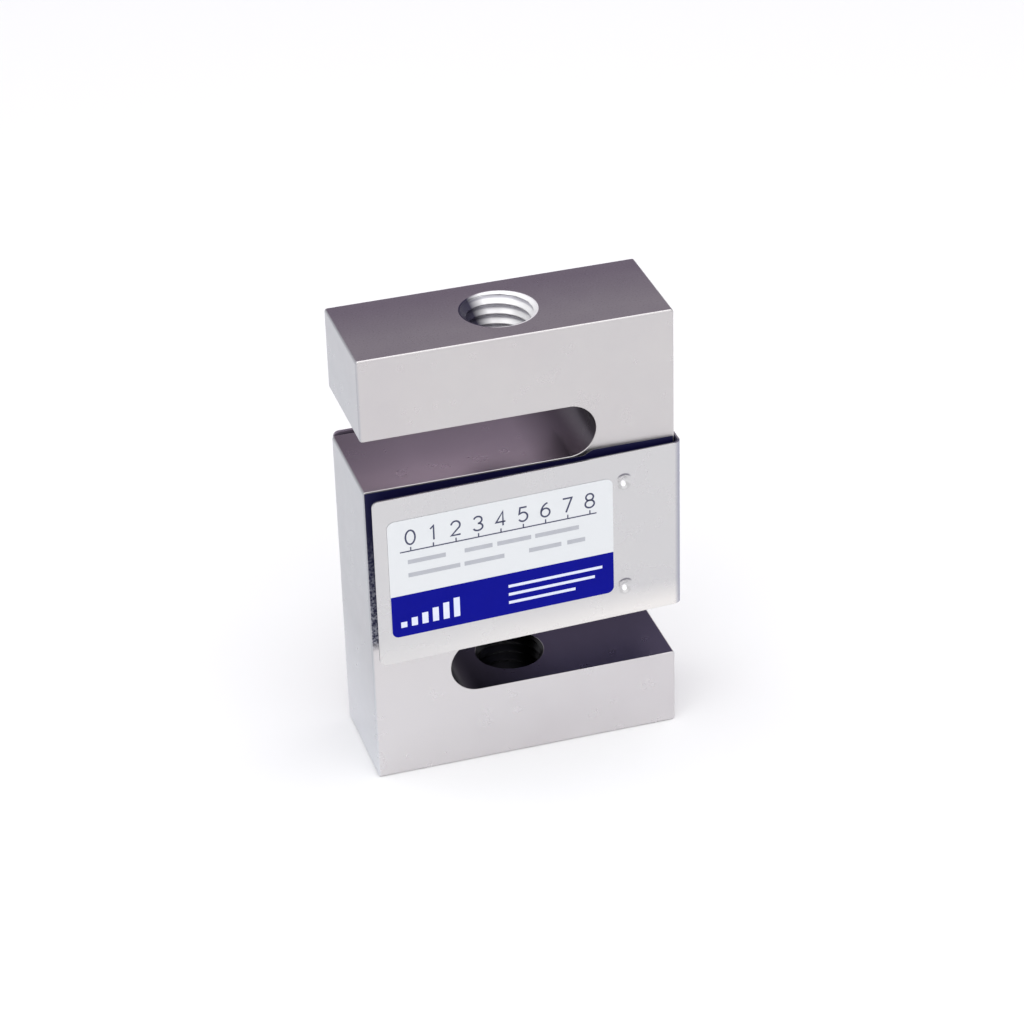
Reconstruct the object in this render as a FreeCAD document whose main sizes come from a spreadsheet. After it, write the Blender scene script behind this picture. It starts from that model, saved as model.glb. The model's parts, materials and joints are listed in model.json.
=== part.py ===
import FreeCAD, Part

import math
import os

import Sketcher

# An S-shaped load cell: a steel block with two slots cut from opposite sides, a tapped hole in
# each arm, strain gauges in a pocket on each side of the centre block, and a folded sheet cover.
# Millimetres. The origin is the centre of the bottom face, on the axis of the tapped holes.
# +Z is up, the labelled side of the cover faces -Y, and the fold of the cover is on +X.

SHEET = {
    # spring body
    "body_width": 50.8,
    "body_height": 76.2,
    "body_depth": 19.05,
    "lower_arm_height": 13.4,
    "lower_slot_height": 9.4,
    "upper_arm_height": 14.0,
    "upper_slot_height": 8.8,
    "slot_reach": 37.9,
    "edge_break": 0.35,
    "thread_wall_radius": 5.1,
    "outer_mouth_radius": 6.2,
    "inner_mouth_radius": 5.7,
    # gauge pockets and their lids
    "pocket_radius": 11.0,
    "shear_web": 3.0,
    "lid_radius": 12.2,
    "lid_thickness": 0.5,
    # wire passage and cable inlet
    "passage_radius": 3.6,
    "passage_bite": 1.0,
    "port_radius": 5.0,
    "port_depth": 8.4,
    "washer_thickness": 1.0,
    "washer_bore": 2.6,
    "bushing_bore": 3.4,
    "flange_radius": 5.9,
    "flange_thickness": 0.5,
    "grommet_bore": 2.6,
    "grommet_flare": 0.4,
    "membrane_recess": 1.2,
    "membrane_thickness": 0.8,
    # folded cover
    "cover_sheet": 0.6,
    "cover_height": 29.8,
    "cover_lift": 0.4,
    "cover_gap": 0.95,
    "flare_depth": 2.05,
    "web_gap": 0.15,
    "cover_setback": 0.5,
    "cover_corner": 1.0,
    "bend_radius": 0.8,
    "inlet_clearance": 0.3,
    "dimple_pitch": 20.0,
    "dimple_inset": 9.75,
    "dimple_mouth": 1.7,
    "dimple_floor": 0.7,
    # label
    "label_width": 37.2,
    "label_height": 21.0,
    "label_lift": 0.4,
    "label_inset": 2.1,
    "label_thickness": 0.15,
    "label_corner": 1.6,
    # sealant between the block and the cover
    "sealant_width": 27.0,
    "sealant_height": 25.0,
    # strain gauges
    "film_width": 9.6,
    "film_height": 7.4,
    "film_thickness": 0.1,
    "film_shift": 2.6,
    "foil_thickness": 0.05,
    "strand_length": 2.6,
    "strand_width": 0.22,
    "strand_pitch": 0.5,
    "grid_spacing": 4.6,
    # terminal strips
    "strip_width": 2.6,
    "strip_height": 6.2,
    "strip_thickness": 0.3,
    "strip_distance": 3.9,
    "tab_width": 2.0,
    "tab_height": 0.8,
    "tab_thickness": 0.05,
    "lead_pitch": 1.2,
    # bridge wires
    "wire_radius": 0.4,
    "wire_overlap": 0.7,
    "wire_turn": 12.6,
    # compensation board
    "board_radius": 8.6,
    "board_thickness": 0.8,
    "board_standoff": 2.4,
    "pin_radius": 0.22,
    "pin_stub": 0.4,
    "chip_width": 3.2,
    "chip_height": 1.6,
    "chip_thickness": 0.55,
    "chip_pitch_across": 4.6,
    "chip_pitch_up": 3.4,
    "chip_shift": 2.4,
    # potting
    "potting_depth": 6.6,
}

STRANDS = 6
LEAD_COLOURS = ("red", "black", "green", "white")
FRONT, REAR = -1, 1
SIDES = {"front": FRONT, "rear": REAR}

X_AXIS = FreeCAD.Vector(1, 0, 0)
Y_AXIS = FreeCAD.Vector(0, 1, 0)

doc = FreeCAD.newDocument("load_cell")


class Formula:
    """A length that knows its spreadsheet formula and its present value."""

    def __init__(self, text, value):
        self.text = text
        self.value = value

    @staticmethod
    def of(number):
        return number if isinstance(number, Formula) else Formula(f"({number})", number)

    def __add__(self, other):
        other = Formula.of(other)
        return Formula(f"({self.text} + {other.text})", self.value + other.value)

    def __sub__(self, other):
        other = Formula.of(other)
        return Formula(f"({self.text} - {other.text})", self.value - other.value)

    def __mul__(self, other):
        other = Formula.of(other)
        return Formula(f"({self.text} * {other.text})", self.value * other.value)

    def __truediv__(self, other):
        other = Formula.of(other)
        return Formula(f"({self.text} / {other.text})", self.value / other.value)

    def __neg__(self):
        return self * -1

    __rmul__ = __mul__


def fill_sheet(sizes):
    """Write each size in its own cell and give the cell its alias."""
    table = doc.addObject("Spreadsheet::Sheet", "Sizes")
    for row, (alias, value) in enumerate(sizes.items(), start=1):
        table.set(f"A{row}", alias)
        table.set(f"B{row}", str(value))
        table.setAlias(f"B{row}", alias)
    doc.recompute()
    return {alias: Formula(f"Sizes.{alias}", value) for alias, value in sizes.items()}


size = fill_sheet(SHEET)
ZERO = Formula.of(0)


def bind(thing, **formulas):
    """Tie properties to spreadsheet formulas."""
    for name, formula in formulas.items():
        thing.setExpression(name, Formula.of(formula).text)
    return thing


def place(thing, x, y, z, turn=None):
    """Tie a placement to formulas; turn is its fixed rotation."""
    thing.Placement = FreeCAD.Placement(FreeCAD.Vector(), turn or FreeCAD.Rotation())
    for letter, formula in zip("xyz", (x, y, z)):
        thing.setExpression(f"Placement.Base.{letter}", Formula.of(formula).text)
    return thing


def towards_y(side):
    """Turn a primitive's own Z axis to -Y for the front or +Y for the rear."""
    return FreeCAD.Rotation(X_AXIS, -90 * side)


TOWARDS_X = FreeCAD.Rotation(Y_AXIS, 90)


# ---------------------------------------------------------------- shared positions

half_width = size["body_width"] / 2
half_depth = size["body_depth"] / 2
half_web = size["shear_web"] / 2
middle = size["body_height"] / 2
pocket_depth = half_depth - half_web
port_floor = half_width - size["port_depth"]
cover_inside = half_depth + size["cover_gap"]
cover_outside = cover_inside + size["cover_sheet"]
cover_left = size["cover_setback"] - half_width
cover_right = half_width + size["web_gap"] + size["cover_sheet"]
cover_middle = middle + size["cover_lift"]
cover_bottom = cover_middle - size["cover_height"] / 2
bend_x = cover_right - size["bend_radius"] - size["cover_sheet"]
label_left = cover_left + size["label_inset"]
dimple_x = cover_right - size["dimple_inset"]
strip_left = size["strip_distance"]
tab_left = strip_left + (size["strip_width"] - size["tab_width"]) / 2
tab_right = tab_left + size["tab_width"]
film_face = half_web + size["film_thickness"]
strip_face = half_web + size["strip_thickness"]
tab_face = strip_face + size["tab_thickness"]
board_face = tab_face + size["board_standoff"]
chip_face = board_face + size["board_thickness"]


def flare_at(x, side=FRONT):
    """How much farther out a panel of the cover stands at x than at its fold. Only the front
    panel springs away from the block."""
    if side == REAR:
        return ZERO
    return size["flare_depth"] * (bend_x - x) / (bend_x - cover_left)


def lead_height(index):
    """Height of one of the leads, which lie side by side about the middle of the block."""
    return middle + size["lead_pitch"] * (index - (len(LEAD_COLOURS) - 1) / 2)


# ---------------------------------------------------------------- part design helpers


def new_body(label):
    body = doc.addObject("PartDesign::Body", label)
    body.Label = label
    return body


def origin_feature(body, role):
    return next(item for item in body.Origin.OriginFeatures if item.Role == role)


def new_sketch(body, name, plane, offset=ZERO):
    """A sketch on one of the body's origin planes, moved along the plane's normal."""
    sketch = body.newObject("Sketcher::SketchObject", name)
    sketch.AttachmentSupport = [(origin_feature(body, plane), "")]
    sketch.MapMode = "FlatFace"
    sketch.setExpression("AttachmentOffset.Base.z", offset.text)
    return sketch


def pin_point(sketch, geometry, point, u, v):
    """Hold a point of the sketch at (u, v)."""
    for kind, formula in (("DistanceX", u), ("DistanceY", v)):
        if formula is not None:
            number = sketch.addConstraint(Sketcher.Constraint(kind, geometry, point, formula.value))
            sketch.setExpression(f"Constraints[{number}]", formula.text)


def draw(sketch, corners, closed=True):
    """Draw a run of lines and arcs. A corner is (u, v), or (u, v, (centre u, centre v), turn)
    where an arc leads on from it: turn is 1 for anticlockwise and -1 for clockwise."""
    count = len(corners) if closed else len(corners) - 1
    for index in range(count):
        here, there = corners[index], corners[(index + 1) % len(corners)]
        first = FreeCAD.Vector(here[0].value, here[1].value, 0)
        last = FreeCAD.Vector(there[0].value, there[1].value, 0)
        if len(here) == 2:
            number = sketch.addGeometry(Part.LineSegment(first, last), False)
            start, end = 1, 2
        else:
            centre = FreeCAD.Vector(here[2][0].value, here[2][1].value, 0)
            ends = [math.atan2(p.y - centre.y, p.x - centre.x) for p in (first, last)]
            start, end = (1, 2) if here[3] > 0 else (2, 1)
            circle = Part.Circle(centre, FreeCAD.Vector(0, 0, 1), (first - centre).Length)
            arc = Part.ArcOfCircle(circle, *(ends if here[3] > 0 else reversed(ends)))
            number = sketch.addGeometry(arc, False)
            flat = abs(first.x - last.x) < abs(first.y - last.y)
            pin_point(sketch, number, 3, *((here[2][0], None) if flat else (None, here[2][1])))
        if index:
            sketch.addConstraint(Sketcher.Constraint("Coincident", number - 1, previous, number, start))
        previous = end
        pin_point(sketch, number, start, here[0], here[1])
    if closed:
        sketch.addConstraint(Sketcher.Constraint("Coincident", number, previous, 0, 1))
    else:
        pin_point(sketch, number, end, corners[-1][0], corners[-1][1])
    return sketch


def draw_circle(sketch, u, v, radius):
    """Draw one circle, held at (u, v)."""
    circle = Part.Circle(
        FreeCAD.Vector(u.value, v.value, 0), FreeCAD.Vector(0, 0, 1), radius.value
    )
    number = sketch.addGeometry(circle, False)
    pin_point(sketch, number, 3, u, v)
    held = sketch.addConstraint(Sketcher.Constraint("Radius", number, radius.value))
    sketch.setExpression(f"Constraints[{held}]", radius.text)
    return sketch


def pad(body, sketch, length, midplane=False, reverse=False):
    feature = body.newObject("PartDesign::Pad", sketch.Name + "Pad")
    feature.Profile = sketch
    feature.Midplane = midplane
    feature.Reversed = reverse
    return bind(feature, Length=length)


def revolve(body, sketch, kind, axis):
    feature = body.newObject(kind, sketch.Name + "Turn")
    feature.Profile = sketch
    feature.ReferenceAxis = (sketch, [axis])
    feature.Angle = 360
    return feature


def cylinder(body, kind, name, radius, height, x, y, z, turn):
    feature = bind(body.newObject(f"PartDesign::{kind}Cylinder", name), Radius=radius, Height=height)
    return place(feature, x, y, z, turn)


def cone(body, kind, name, radii, height, x, y, z, turn):
    feature = body.newObject(f"PartDesign::{kind}Cone", name)
    bind(feature, Radius1=radii[0], Radius2=radii[1], Height=height)
    return place(feature, x, y, z, turn)


def round_edges(body, name, base, radius, test):
    """Fillet the edges of base that pass the test, which takes an edge's two end points."""
    doc.recompute()
    names = [
        f"Edge{number}"
        for number, edge in enumerate(base.Shape.Edges, start=1)
        if len(edge.Vertexes) == 2 and test(edge.Vertexes[0].Point, edge.Vertexes[1].Point)
    ]
    feature = body.newObject("PartDesign::Fillet", name)
    feature.Base = (base, names)
    return bind(feature, Radius=radius)


# ---------------------------------------------------------------- spring body


def make_spring_body():
    body = new_body("spring_body")
    height, reach = size["body_height"], size["slot_reach"] - half_width
    low_arm, high_arm = size["lower_arm_height"], height - size["upper_arm_height"]
    low_round, high_round = size["lower_slot_height"] / 2, size["upper_slot_height"] / 2
    low_end, high_end = low_round - reach, reach - high_round
    outline = [
        (-half_width, ZERO),
        (half_width, ZERO),
        (half_width, low_arm),
        (low_end, low_arm, (low_end, low_arm + low_round), -1),
        (low_end, low_arm + low_round * 2),
        (half_width, low_arm + low_round * 2),
        (half_width, height),
        (-half_width, height),
        (-half_width, high_arm),
        (high_end, high_arm, (high_end, high_arm - high_round), -1),
        (high_end, high_arm - high_round * 2),
        (-half_width, high_arm - high_round * 2),
    ]
    block = pad(
        body, draw(new_sketch(body, "SOutline", "XZ_Plane"), outline), size["body_depth"], midplane=True
    )
    edges = body.newObject("PartDesign::Chamfer", "EdgeBreak")
    edges.Base = (block, [""])
    edges.UseAllEdges = True
    bind(edges, Size=size["edge_break"])

    bore = size["thread_wall_radius"]
    for name, outer, inner, sign in (("Lower", ZERO, low_arm, 1), ("Upper", height, high_arm, -1)):
        section = [
            (ZERO, outer),
            (size["outer_mouth_radius"], outer),
            (bore, outer + (size["outer_mouth_radius"] - bore) * sign),
            (bore, inner - (size["inner_mouth_radius"] - bore) * sign),
            (size["inner_mouth_radius"], inner),
            (ZERO, inner),
        ]
        sketch = draw(new_sketch(body, name + "Hole", "XZ_Plane"), section)
        revolve(body, sketch, "PartDesign::Groove", "V_Axis")

    for name, side in SIDES.items():
        outside, turn = half_depth * side, towards_y(-side)
        cylinder(
            body, "Subtractive", name + "Pocket", size["pocket_radius"], pocket_depth,
            ZERO, outside, middle, turn,
        )
        cylinder(
            body, "Subtractive", name + "LidSeat", size["lid_radius"], size["lid_thickness"],
            ZERO, outside, middle, turn,
        )
    cylinder(
        body, "Subtractive", "Port", size["port_radius"], size["port_depth"],
        port_floor, ZERO, middle, TOWARDS_X,
    )
    inner_end = size["pocket_radius"] - size["passage_bite"]
    cylinder(
        body, "Subtractive", "Passage", size["passage_radius"], port_floor - inner_end,
        inner_end, ZERO, middle, TOWARDS_X,
    )
    return body


# ---------------------------------------------------------------- cover and label


def make_wrap_cover():
    body = new_body("wrap_cover")
    outer = size["bend_radius"] + size["cover_sheet"]
    bend_y = cover_outside - outer
    inner_x = cover_right - size["cover_sheet"]
    free_outside = cover_outside + size["flare_depth"]
    free_inside = cover_inside + size["flare_depth"]
    plan = [
        (cover_left, -free_outside),
        (bend_x, -cover_outside, (bend_x, -bend_y), 1),
        (cover_right, -bend_y),
        (cover_right, bend_y, (bend_x, bend_y), 1),
        (bend_x, cover_outside),
        (cover_left, cover_outside),
        (cover_left, cover_inside),
        (bend_x, cover_inside, (bend_x, bend_y), -1),
        (inner_x, bend_y),
        (inner_x, -bend_y, (bend_x, -bend_y), -1),
        (bend_x, -cover_inside),
        (cover_left, -free_inside),
    ]
    sheet = pad(
        body, draw(new_sketch(body, "FoldedPlan", "XY_Plane", cover_bottom), plan), size["cover_height"]
    )
    left = cover_left.value
    round_edges(
        body, "PanelCorners", sheet, size["cover_corner"],
        lambda a, b: abs(a.x - left) < 1e-6 and abs(b.x - left) < 1e-6 and abs(a.z - b.z) < 1e-6,
    )
    cylinder(
        body, "Subtractive", "InletHole", size["flange_radius"] + size["inlet_clearance"],
        size["cover_sheet"] * 2, inner_x - size["cover_sheet"] / 2, ZERO, middle, TOWARDS_X,
    )
    wall = size["cover_sheet"]
    for name, side in SIDES.items():
        start = flare_at(dimple_x, side) + wall / 4
        depth = size["cover_gap"] + start
        for place_name, sign in (("Low", -1), ("High", 1)):
            z = cover_middle + size["dimple_pitch"] / 2 * sign
            cone(
                body, "Additive", f"{name}{place_name}Boss",
                (size["dimple_mouth"] + wall / 2, size["dimple_floor"] + wall / 2),
                depth, dimple_x, (cover_inside + start) * side, z, towards_y(-side),
            )
            cone(
                body, "Subtractive", f"{name}{place_name}Dimple",
                (size["dimple_mouth"], size["dimple_floor"]),
                depth, dimple_x, (cover_outside + start) * side, z, towards_y(-side),
            )
    return body


def make_rating_label():
    """A thin plate with round corners, laid on the slanting front panel."""
    body = new_body("rating_label")
    corner = size["label_corner"]
    left, bottom = label_left, cover_middle + size["label_lift"] - size["label_height"] / 2
    right, top = left + size["label_width"], bottom + size["label_height"]
    outline = [
        (left + corner, bottom),
        (right - corner, bottom, (right - corner, bottom + corner), 1),
        (right, bottom + corner),
        (right, top - corner, (right - corner, top - corner), 1),
        (right - corner, top),
        (left + corner, top, (left + corner, top - corner), 1),
        (left, top - corner),
        (left, bottom + corner, (left + corner, bottom + corner), 1),
    ]
    sketch = new_sketch(body, "LabelOutline", "XZ_Plane", cover_outside + flare_at(ZERO))
    slope = size["flare_depth"] / (bend_x - cover_left)
    sketch.AttachmentOffset = FreeCAD.Placement(
        FreeCAD.Vector(), FreeCAD.Rotation(Y_AXIS, math.degrees(math.atan(slope.value)))
    )
    sketch.setExpression("AttachmentOffset.Rotation.Angle", f"atan({slope.text})")
    pad(body, draw(sketch, outline), size["label_thickness"])
    return body


def make_sealant_pad(name, side):
    """A pad that fills the gap between the block and a panel of the cover."""
    body = new_body(name + "_sealant_pad")
    reach = size["sealant_width"] / 2
    plan = [
        (-reach, half_depth * side),
        (reach, half_depth * side),
        (reach, (cover_inside + flare_at(reach, side)) * side),
        (-reach, (cover_inside + flare_at(-reach, side)) * side),
    ]
    bottom = cover_middle - size["sealant_height"] / 2
    sketch = draw(new_sketch(body, body.Label + "Plan", "XY_Plane", bottom), plan)
    pad(body, sketch, size["sealant_height"])
    return body


# ---------------------------------------------------------------- simple solids


def disc(label, radius, thickness, near, side):
    """A round plate on the pocket's axis, its near face at distance near from the middle."""
    thing = bind(doc.addObject("Part::Cylinder", label), Radius=radius, Height=thickness)
    thing.Label = label
    return place(thing, ZERO, near * side, middle, towards_y(side))


def block(name, width, height, thickness, left, bottom, near, side):
    """A rectangular plate, its near face at distance near from the middle plane."""
    thing = bind(doc.addObject("Part::Box", name), Length=width, Width=thickness, Height=height)
    corner_y = near if side == REAR else -(near + thickness)
    return place(thing, left, corner_y, bottom)


def group(label, pieces):
    """Join pieces into one node; pieces that don't touch stay separate solids."""
    thing = doc.addObject("Part::MultiFuse", label)
    thing.Label = label
    thing.Shapes = pieces
    return thing


def cut(label, base, tools):
    """Take the tools away from base, one after the other."""
    for number, tool in enumerate(tools, start=1):
        last = number == len(tools)
        thing = doc.addObject("Part::Cut", label if last else f"{label}_less_{number}")
        thing.Base = base
        thing.Tool = tool
        base = thing
    base.Label = label
    return base


# ---------------------------------------------------------------- gauges and terminals


def make_gauge_film(name, side):
    return block(
        name + "_gauge_film", size["film_width"], size["film_height"], size["film_thickness"],
        -size["film_shift"] - size["film_width"] / 2, middle - size["film_height"] / 2,
        half_web, side,
    )


def make_gauge_grid(name, side):
    """Two foil grids at 45 degrees, each a strip that runs to and fro."""
    grids = []
    for lean in (-1, 1):
        across = size["grid_spacing"] / 2 * lean - size["film_shift"]
        strands = []
        for index in range(STRANDS):
            middle_of_strand = size["strand_pitch"] * (index - (STRANDS - 1) / 2)
            strands.append(
                block(
                    f"{name}_strand_{lean}_{index}", size["strand_length"], size["strand_width"],
                    size["foil_thickness"], size["strand_length"] / -2,
                    middle_of_strand - size["strand_width"] / 2, film_face, side,
                )
            )
            if index:
                end = 1 if index % 2 else -1
                edge = size["strand_length"] / 2 * end
                left = edge - size["strand_width"] if end == 1 else edge
                strands.append(
                    block(
                        f"{name}_loop_{lean}_{index}", size["strand_width"], size["strand_pitch"],
                        size["foil_thickness"], left, middle_of_strand - size["strand_pitch"],
                        film_face, side,
                    )
                )
        grid = group(f"{name}_grid_{lean}", strands)
        turn = FreeCAD.Rotation(Y_AXIS, 45 * lean)
        grids.append(place(grid, across, ZERO, middle, turn))
    return group(name + "_gauge_grid", grids)


def make_terminal_strip(name, side):
    return block(
        name + "_terminal_strip", size["strip_width"], size["strip_height"],
        size["strip_thickness"], strip_left, middle - size["strip_height"] / 2, half_web, side,
    )


def make_terminal_tabs(name, side):
    tabs = [
        block(
            f"{name}_tab_{index}", size["tab_width"], size["tab_height"], size["tab_thickness"],
            tab_left, lead_height(index) - size["tab_height"] / 2, strip_face, side,
        )
        for index in range(len(LEAD_COLOURS))
    ]
    return group(name + "_terminal_tabs", tabs)


def make_bridge_wire(index, colour):
    """A wire from a front tab round the edge of the shear web to the rear tab behind it."""
    body = new_body(colour + "_bridge_wire")
    reach = tab_face + size["wire_radius"]
    start = tab_right - size["wire_overlap"]
    turn = size["wire_turn"]
    route = [
        (start, -reach),
        (turn, -reach, (turn, ZERO), 1),
        (turn, reach),
        (start, reach),
    ]
    path = draw(
        new_sketch(body, colour + "Route", "XY_Plane", lead_height(index)), route, closed=False
    )
    profile = draw_circle(
        new_sketch(body, colour + "Section", "YZ_Plane", start),
        -reach, lead_height(index), size["wire_radius"],
    )
    pipe = body.newObject("PartDesign::AdditivePipe", colour + "Pipe")
    pipe.Profile = profile
    pipe.Spine = (path, ["Edge1", "Edge2", "Edge3"])
    return body


# ---------------------------------------------------------------- compensation board


def make_board_pins():
    pins = []
    length = size["board_standoff"] + size["board_thickness"] + size["pin_stub"]
    for index in range(len(LEAD_COLOURS)):
        pin = bind(
            doc.addObject("Part::Cylinder", f"pin_{index}"), Radius=size["pin_radius"], Height=length
        )
        x = tab_left + size["pin_radius"] * 2
        pins.append(place(pin, x, tab_face, lead_height(index), towards_y(REAR)))
    return group("board_pins", pins)


def make_compensation_board(pins):
    blank = disc("board_blank", size["board_radius"], size["board_thickness"], board_face, REAR)
    return cut("compensation_board", blank, [pins])


def make_trim_resistors():
    chips = []
    for across in (-1, 1):
        for up in (-1, 1):
            x = size["chip_pitch_across"] / 2 * across - size["chip_shift"]
            z = middle + size["chip_pitch_up"] / 2 * up
            chips.append(
                block(
                    f"chip_{across}_{up}", size["chip_width"], size["chip_height"],
                    size["chip_thickness"], x - size["chip_width"] / 2,
                    z - size["chip_height"] / 2, chip_face, REAR,
                )
            )
    return group("trim_resistors", chips)


# ---------------------------------------------------------------- cable inlet


def make_inlet_washer():
    body = new_body("inlet_washer")
    section = [
        (port_floor, size["washer_bore"]),
        (port_floor + size["washer_thickness"], size["washer_bore"]),
        (port_floor + size["washer_thickness"], size["port_radius"]),
        (port_floor, size["port_radius"]),
    ]
    return turned_on_inlet(body, section)


def make_inlet_bushing():
    body = new_body("inlet_bushing")
    inner = port_floor + size["washer_thickness"]
    face = half_width + size["flange_thickness"]
    section = [
        (inner, size["bushing_bore"]),
        (face, size["bushing_bore"]),
        (face, size["flange_radius"]),
        (half_width, size["flange_radius"]),
        (half_width, size["port_radius"]),
        (inner, size["port_radius"]),
    ]
    return turned_on_inlet(body, section)


def make_inlet_grommet():
    """A rubber sleeve whose closed membrane is pierced when a cable is fitted."""
    body = new_body("inlet_grommet")
    inner = port_floor + size["washer_thickness"]
    face = half_width + size["flange_thickness"]
    flare = size["grommet_flare"]
    outside = face - size["membrane_recess"]
    inside = outside - size["membrane_thickness"]
    section = [
        (inner, size["grommet_bore"]),
        (inside, size["grommet_bore"]),
        (inside, ZERO),
        (outside, ZERO),
        (outside, size["grommet_bore"]),
        (face - flare, size["grommet_bore"]),
        (face, size["grommet_bore"] + flare),
        (face, size["bushing_bore"]),
        (inner, size["bushing_bore"]),
    ]
    return turned_on_inlet(body, section)


def turned_on_inlet(body, section):
    """Turn a half section, drawn as (x, radius), about the inlet's axis."""
    sketch = draw(new_sketch(body, body.Label + "Section", "XY_Plane", middle), section)
    revolve(body, sketch, "PartDesign::Revolution", "H_Axis")
    return body


# ---------------------------------------------------------------- assembly

nodes = [make_spring_body(), make_wrap_cover(), make_rating_label()]
wires = [make_bridge_wire(index, colour) for index, colour in enumerate(LEAD_COLOURS)]
pins = make_board_pins()
board = [pins, make_compensation_board(pins), make_trim_resistors()]
nodes += wires + board
nodes += [make_inlet_washer(), make_inlet_bushing(), make_inlet_grommet()]

for name, side in SIDES.items():
    fitted = [
        make_gauge_film(name, side),
        make_gauge_grid(name, side),
        make_terminal_strip(name, side),
        make_terminal_tabs(name, side),
    ]
    fill = disc(name + "_fill", size["pocket_radius"], size["potting_depth"], half_web, side)
    buried = fitted + wires + (board if side == REAR else [])
    lid = disc(
        name + "_pocket_lid", size["lid_radius"], size["lid_thickness"],
        half_depth - size["lid_thickness"], side,
    )
    nodes += fitted + [cut(name + "_potting", fill, buried), lid, make_sealant_pad(name, side)]

doc.recompute()

for item in doc.Objects:
    if {"Invalid", "Error"} & set(item.State):
        raise RuntimeError(f"{item.Label} did not build: {item.State}")
for node in nodes:
    if node.Shape.isNull() or not node.Shape.isValid() or not node.Shape.Solids:
        raise RuntimeError(f"{node.Label} has no valid solid")

os.makedirs("parts", exist_ok=True)
for node in nodes:
    node.Shape.exportStep(f"parts/{node.Label}.step")
    print(f"{node.Label:24s} {len(node.Shape.Solids)} solid(s) {node.Shape.Volume:10.2f} mm3")
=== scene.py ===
"""Looks of an S-shaped load cell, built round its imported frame.

The frame gives the place and size of each solid. Each class below builds one sub-assembly as
surfaces worked out with numpy, and gives it a finish. Lengths in the classes are millimetres
where their names or docstrings say so, and every mesh is made in metres in the frame's axes:
+Z up, the labelled side on -Y, the fold of the cover and the cable inlet on +X.
"""

import json
import logging
import math
from dataclasses import dataclass, field
from enum import Enum
from typing import Any

import bmesh
import bpy
import numpy as np
from mathutils import Matrix, Vector


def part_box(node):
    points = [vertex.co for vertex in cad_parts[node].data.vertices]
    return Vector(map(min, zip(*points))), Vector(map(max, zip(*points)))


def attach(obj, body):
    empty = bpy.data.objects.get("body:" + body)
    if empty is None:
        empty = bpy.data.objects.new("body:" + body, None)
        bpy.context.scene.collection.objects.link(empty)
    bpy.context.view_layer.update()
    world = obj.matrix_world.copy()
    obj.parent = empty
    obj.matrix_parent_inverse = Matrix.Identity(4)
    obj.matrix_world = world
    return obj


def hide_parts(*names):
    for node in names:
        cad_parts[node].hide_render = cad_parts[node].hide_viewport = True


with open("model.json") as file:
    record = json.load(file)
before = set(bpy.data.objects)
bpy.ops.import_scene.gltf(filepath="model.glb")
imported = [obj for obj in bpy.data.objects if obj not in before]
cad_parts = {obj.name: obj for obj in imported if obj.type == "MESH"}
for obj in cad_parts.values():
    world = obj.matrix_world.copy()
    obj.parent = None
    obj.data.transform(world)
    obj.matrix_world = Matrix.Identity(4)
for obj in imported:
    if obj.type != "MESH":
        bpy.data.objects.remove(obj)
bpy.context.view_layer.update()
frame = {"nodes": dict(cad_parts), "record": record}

Array = np.ndarray
Shape = tuple[np.ndarray, list]
Pair = tuple[float, float]
Piece = bpy.types.Object

painted: dict[str, bpy.types.Material] = {}
log = logging.getLogger("load_cell")
logging.basicConfig(level=logging.INFO, format="%(name)s: %(message)s")

MM = 0.001
BODY = "root"
MERGE_M = 1e-7  # points closer than this become one
SLIVER_M = 1e-8  # edges shorter than this are dropped
FAR_MM = 1e3  # a distance that is past every rounding of a free edge
MARK_RAMP = (0.45, 0.1)  # where the step of a mesh value starts, and its length
NOISE_ROUGHNESS = 0.55


class Side(Enum):
    """The two faces of the block, as signs of Y."""

    FRONT = -1
    REAR = 1


# ------------------------------------------------------------------ mesh tools


def arc_steps(start: float, end: float, count: int) -> Array:
    """Angles from start to end in degrees, both ends included, as radians.

    Args:
        start: first angle in degrees.
        end: last angle in degrees.
        count: number of steps between them.

    Returns:
        An array of count + 1 angles.
    """
    return np.radians(np.linspace(start, end, count + 1))


def grid_quads(rows: int, columns: int, closed: bool = True, first: int = 0) -> Array:
    """Quads of a grid whose vertex number is row * columns + column.

    Args:
        rows: number of rows of vertices.
        columns: number of vertices in a row.
        closed: whether the last column joins the first.
        first: number of the grid's first vertex.

    Returns:
        An array of four vertex numbers a face.
    """
    row = np.arange(rows - 1)[:, None]
    column = np.arange(columns if closed else columns - 1)[None, :]
    here = row * columns + column
    right = row * columns + (column + 1) % columns
    quads = np.stack([here, right, right + columns, here + columns], axis=-1)
    return quads.reshape(-1, 4) + first


def new_piece(name: str, vertices: Array, faces: list, smooth: bool = True,
              marks: dict[str, Array] | None = None) -> Piece:
    """Make an object at the origin from vertices in millimetres.

    Args:
        name: the object's name.
        vertices: points in millimetres, in the frame's axes.
        faces: lists of vertex numbers.
        smooth: whether faces are shaded smooth.
        marks: named values, one a vertex, that a finish reads.

    Returns:
        The object, with doubles merged and its faces pointing outwards.
    """
    mesh = bpy.data.meshes.new(name)
    points = (np.asarray(vertices, float) * MM).tolist()
    mesh.from_pydata(points, [], [list(map(int, face)) for face in faces])
    for mark, values in (marks or {}).items():
        mesh.attributes.new(mark, "FLOAT", "POINT").data.foreach_set("value", np.ravel(values))
    shape = bmesh.new()
    shape.from_mesh(mesh)
    bmesh.ops.remove_doubles(shape, verts=shape.verts, dist=MERGE_M)
    bmesh.ops.dissolve_degenerate(shape, edges=shape.edges, dist=SLIVER_M)
    bmesh.ops.recalc_face_normals(shape, faces=shape.faces)
    shape.to_mesh(mesh)
    shape.free()
    mesh.polygons.foreach_set("use_smooth", [smooth] * len(mesh.polygons))
    mesh.update()
    piece = bpy.data.objects.new(name, mesh)
    bpy.context.scene.collection.objects.link(piece)
    return piece


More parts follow.
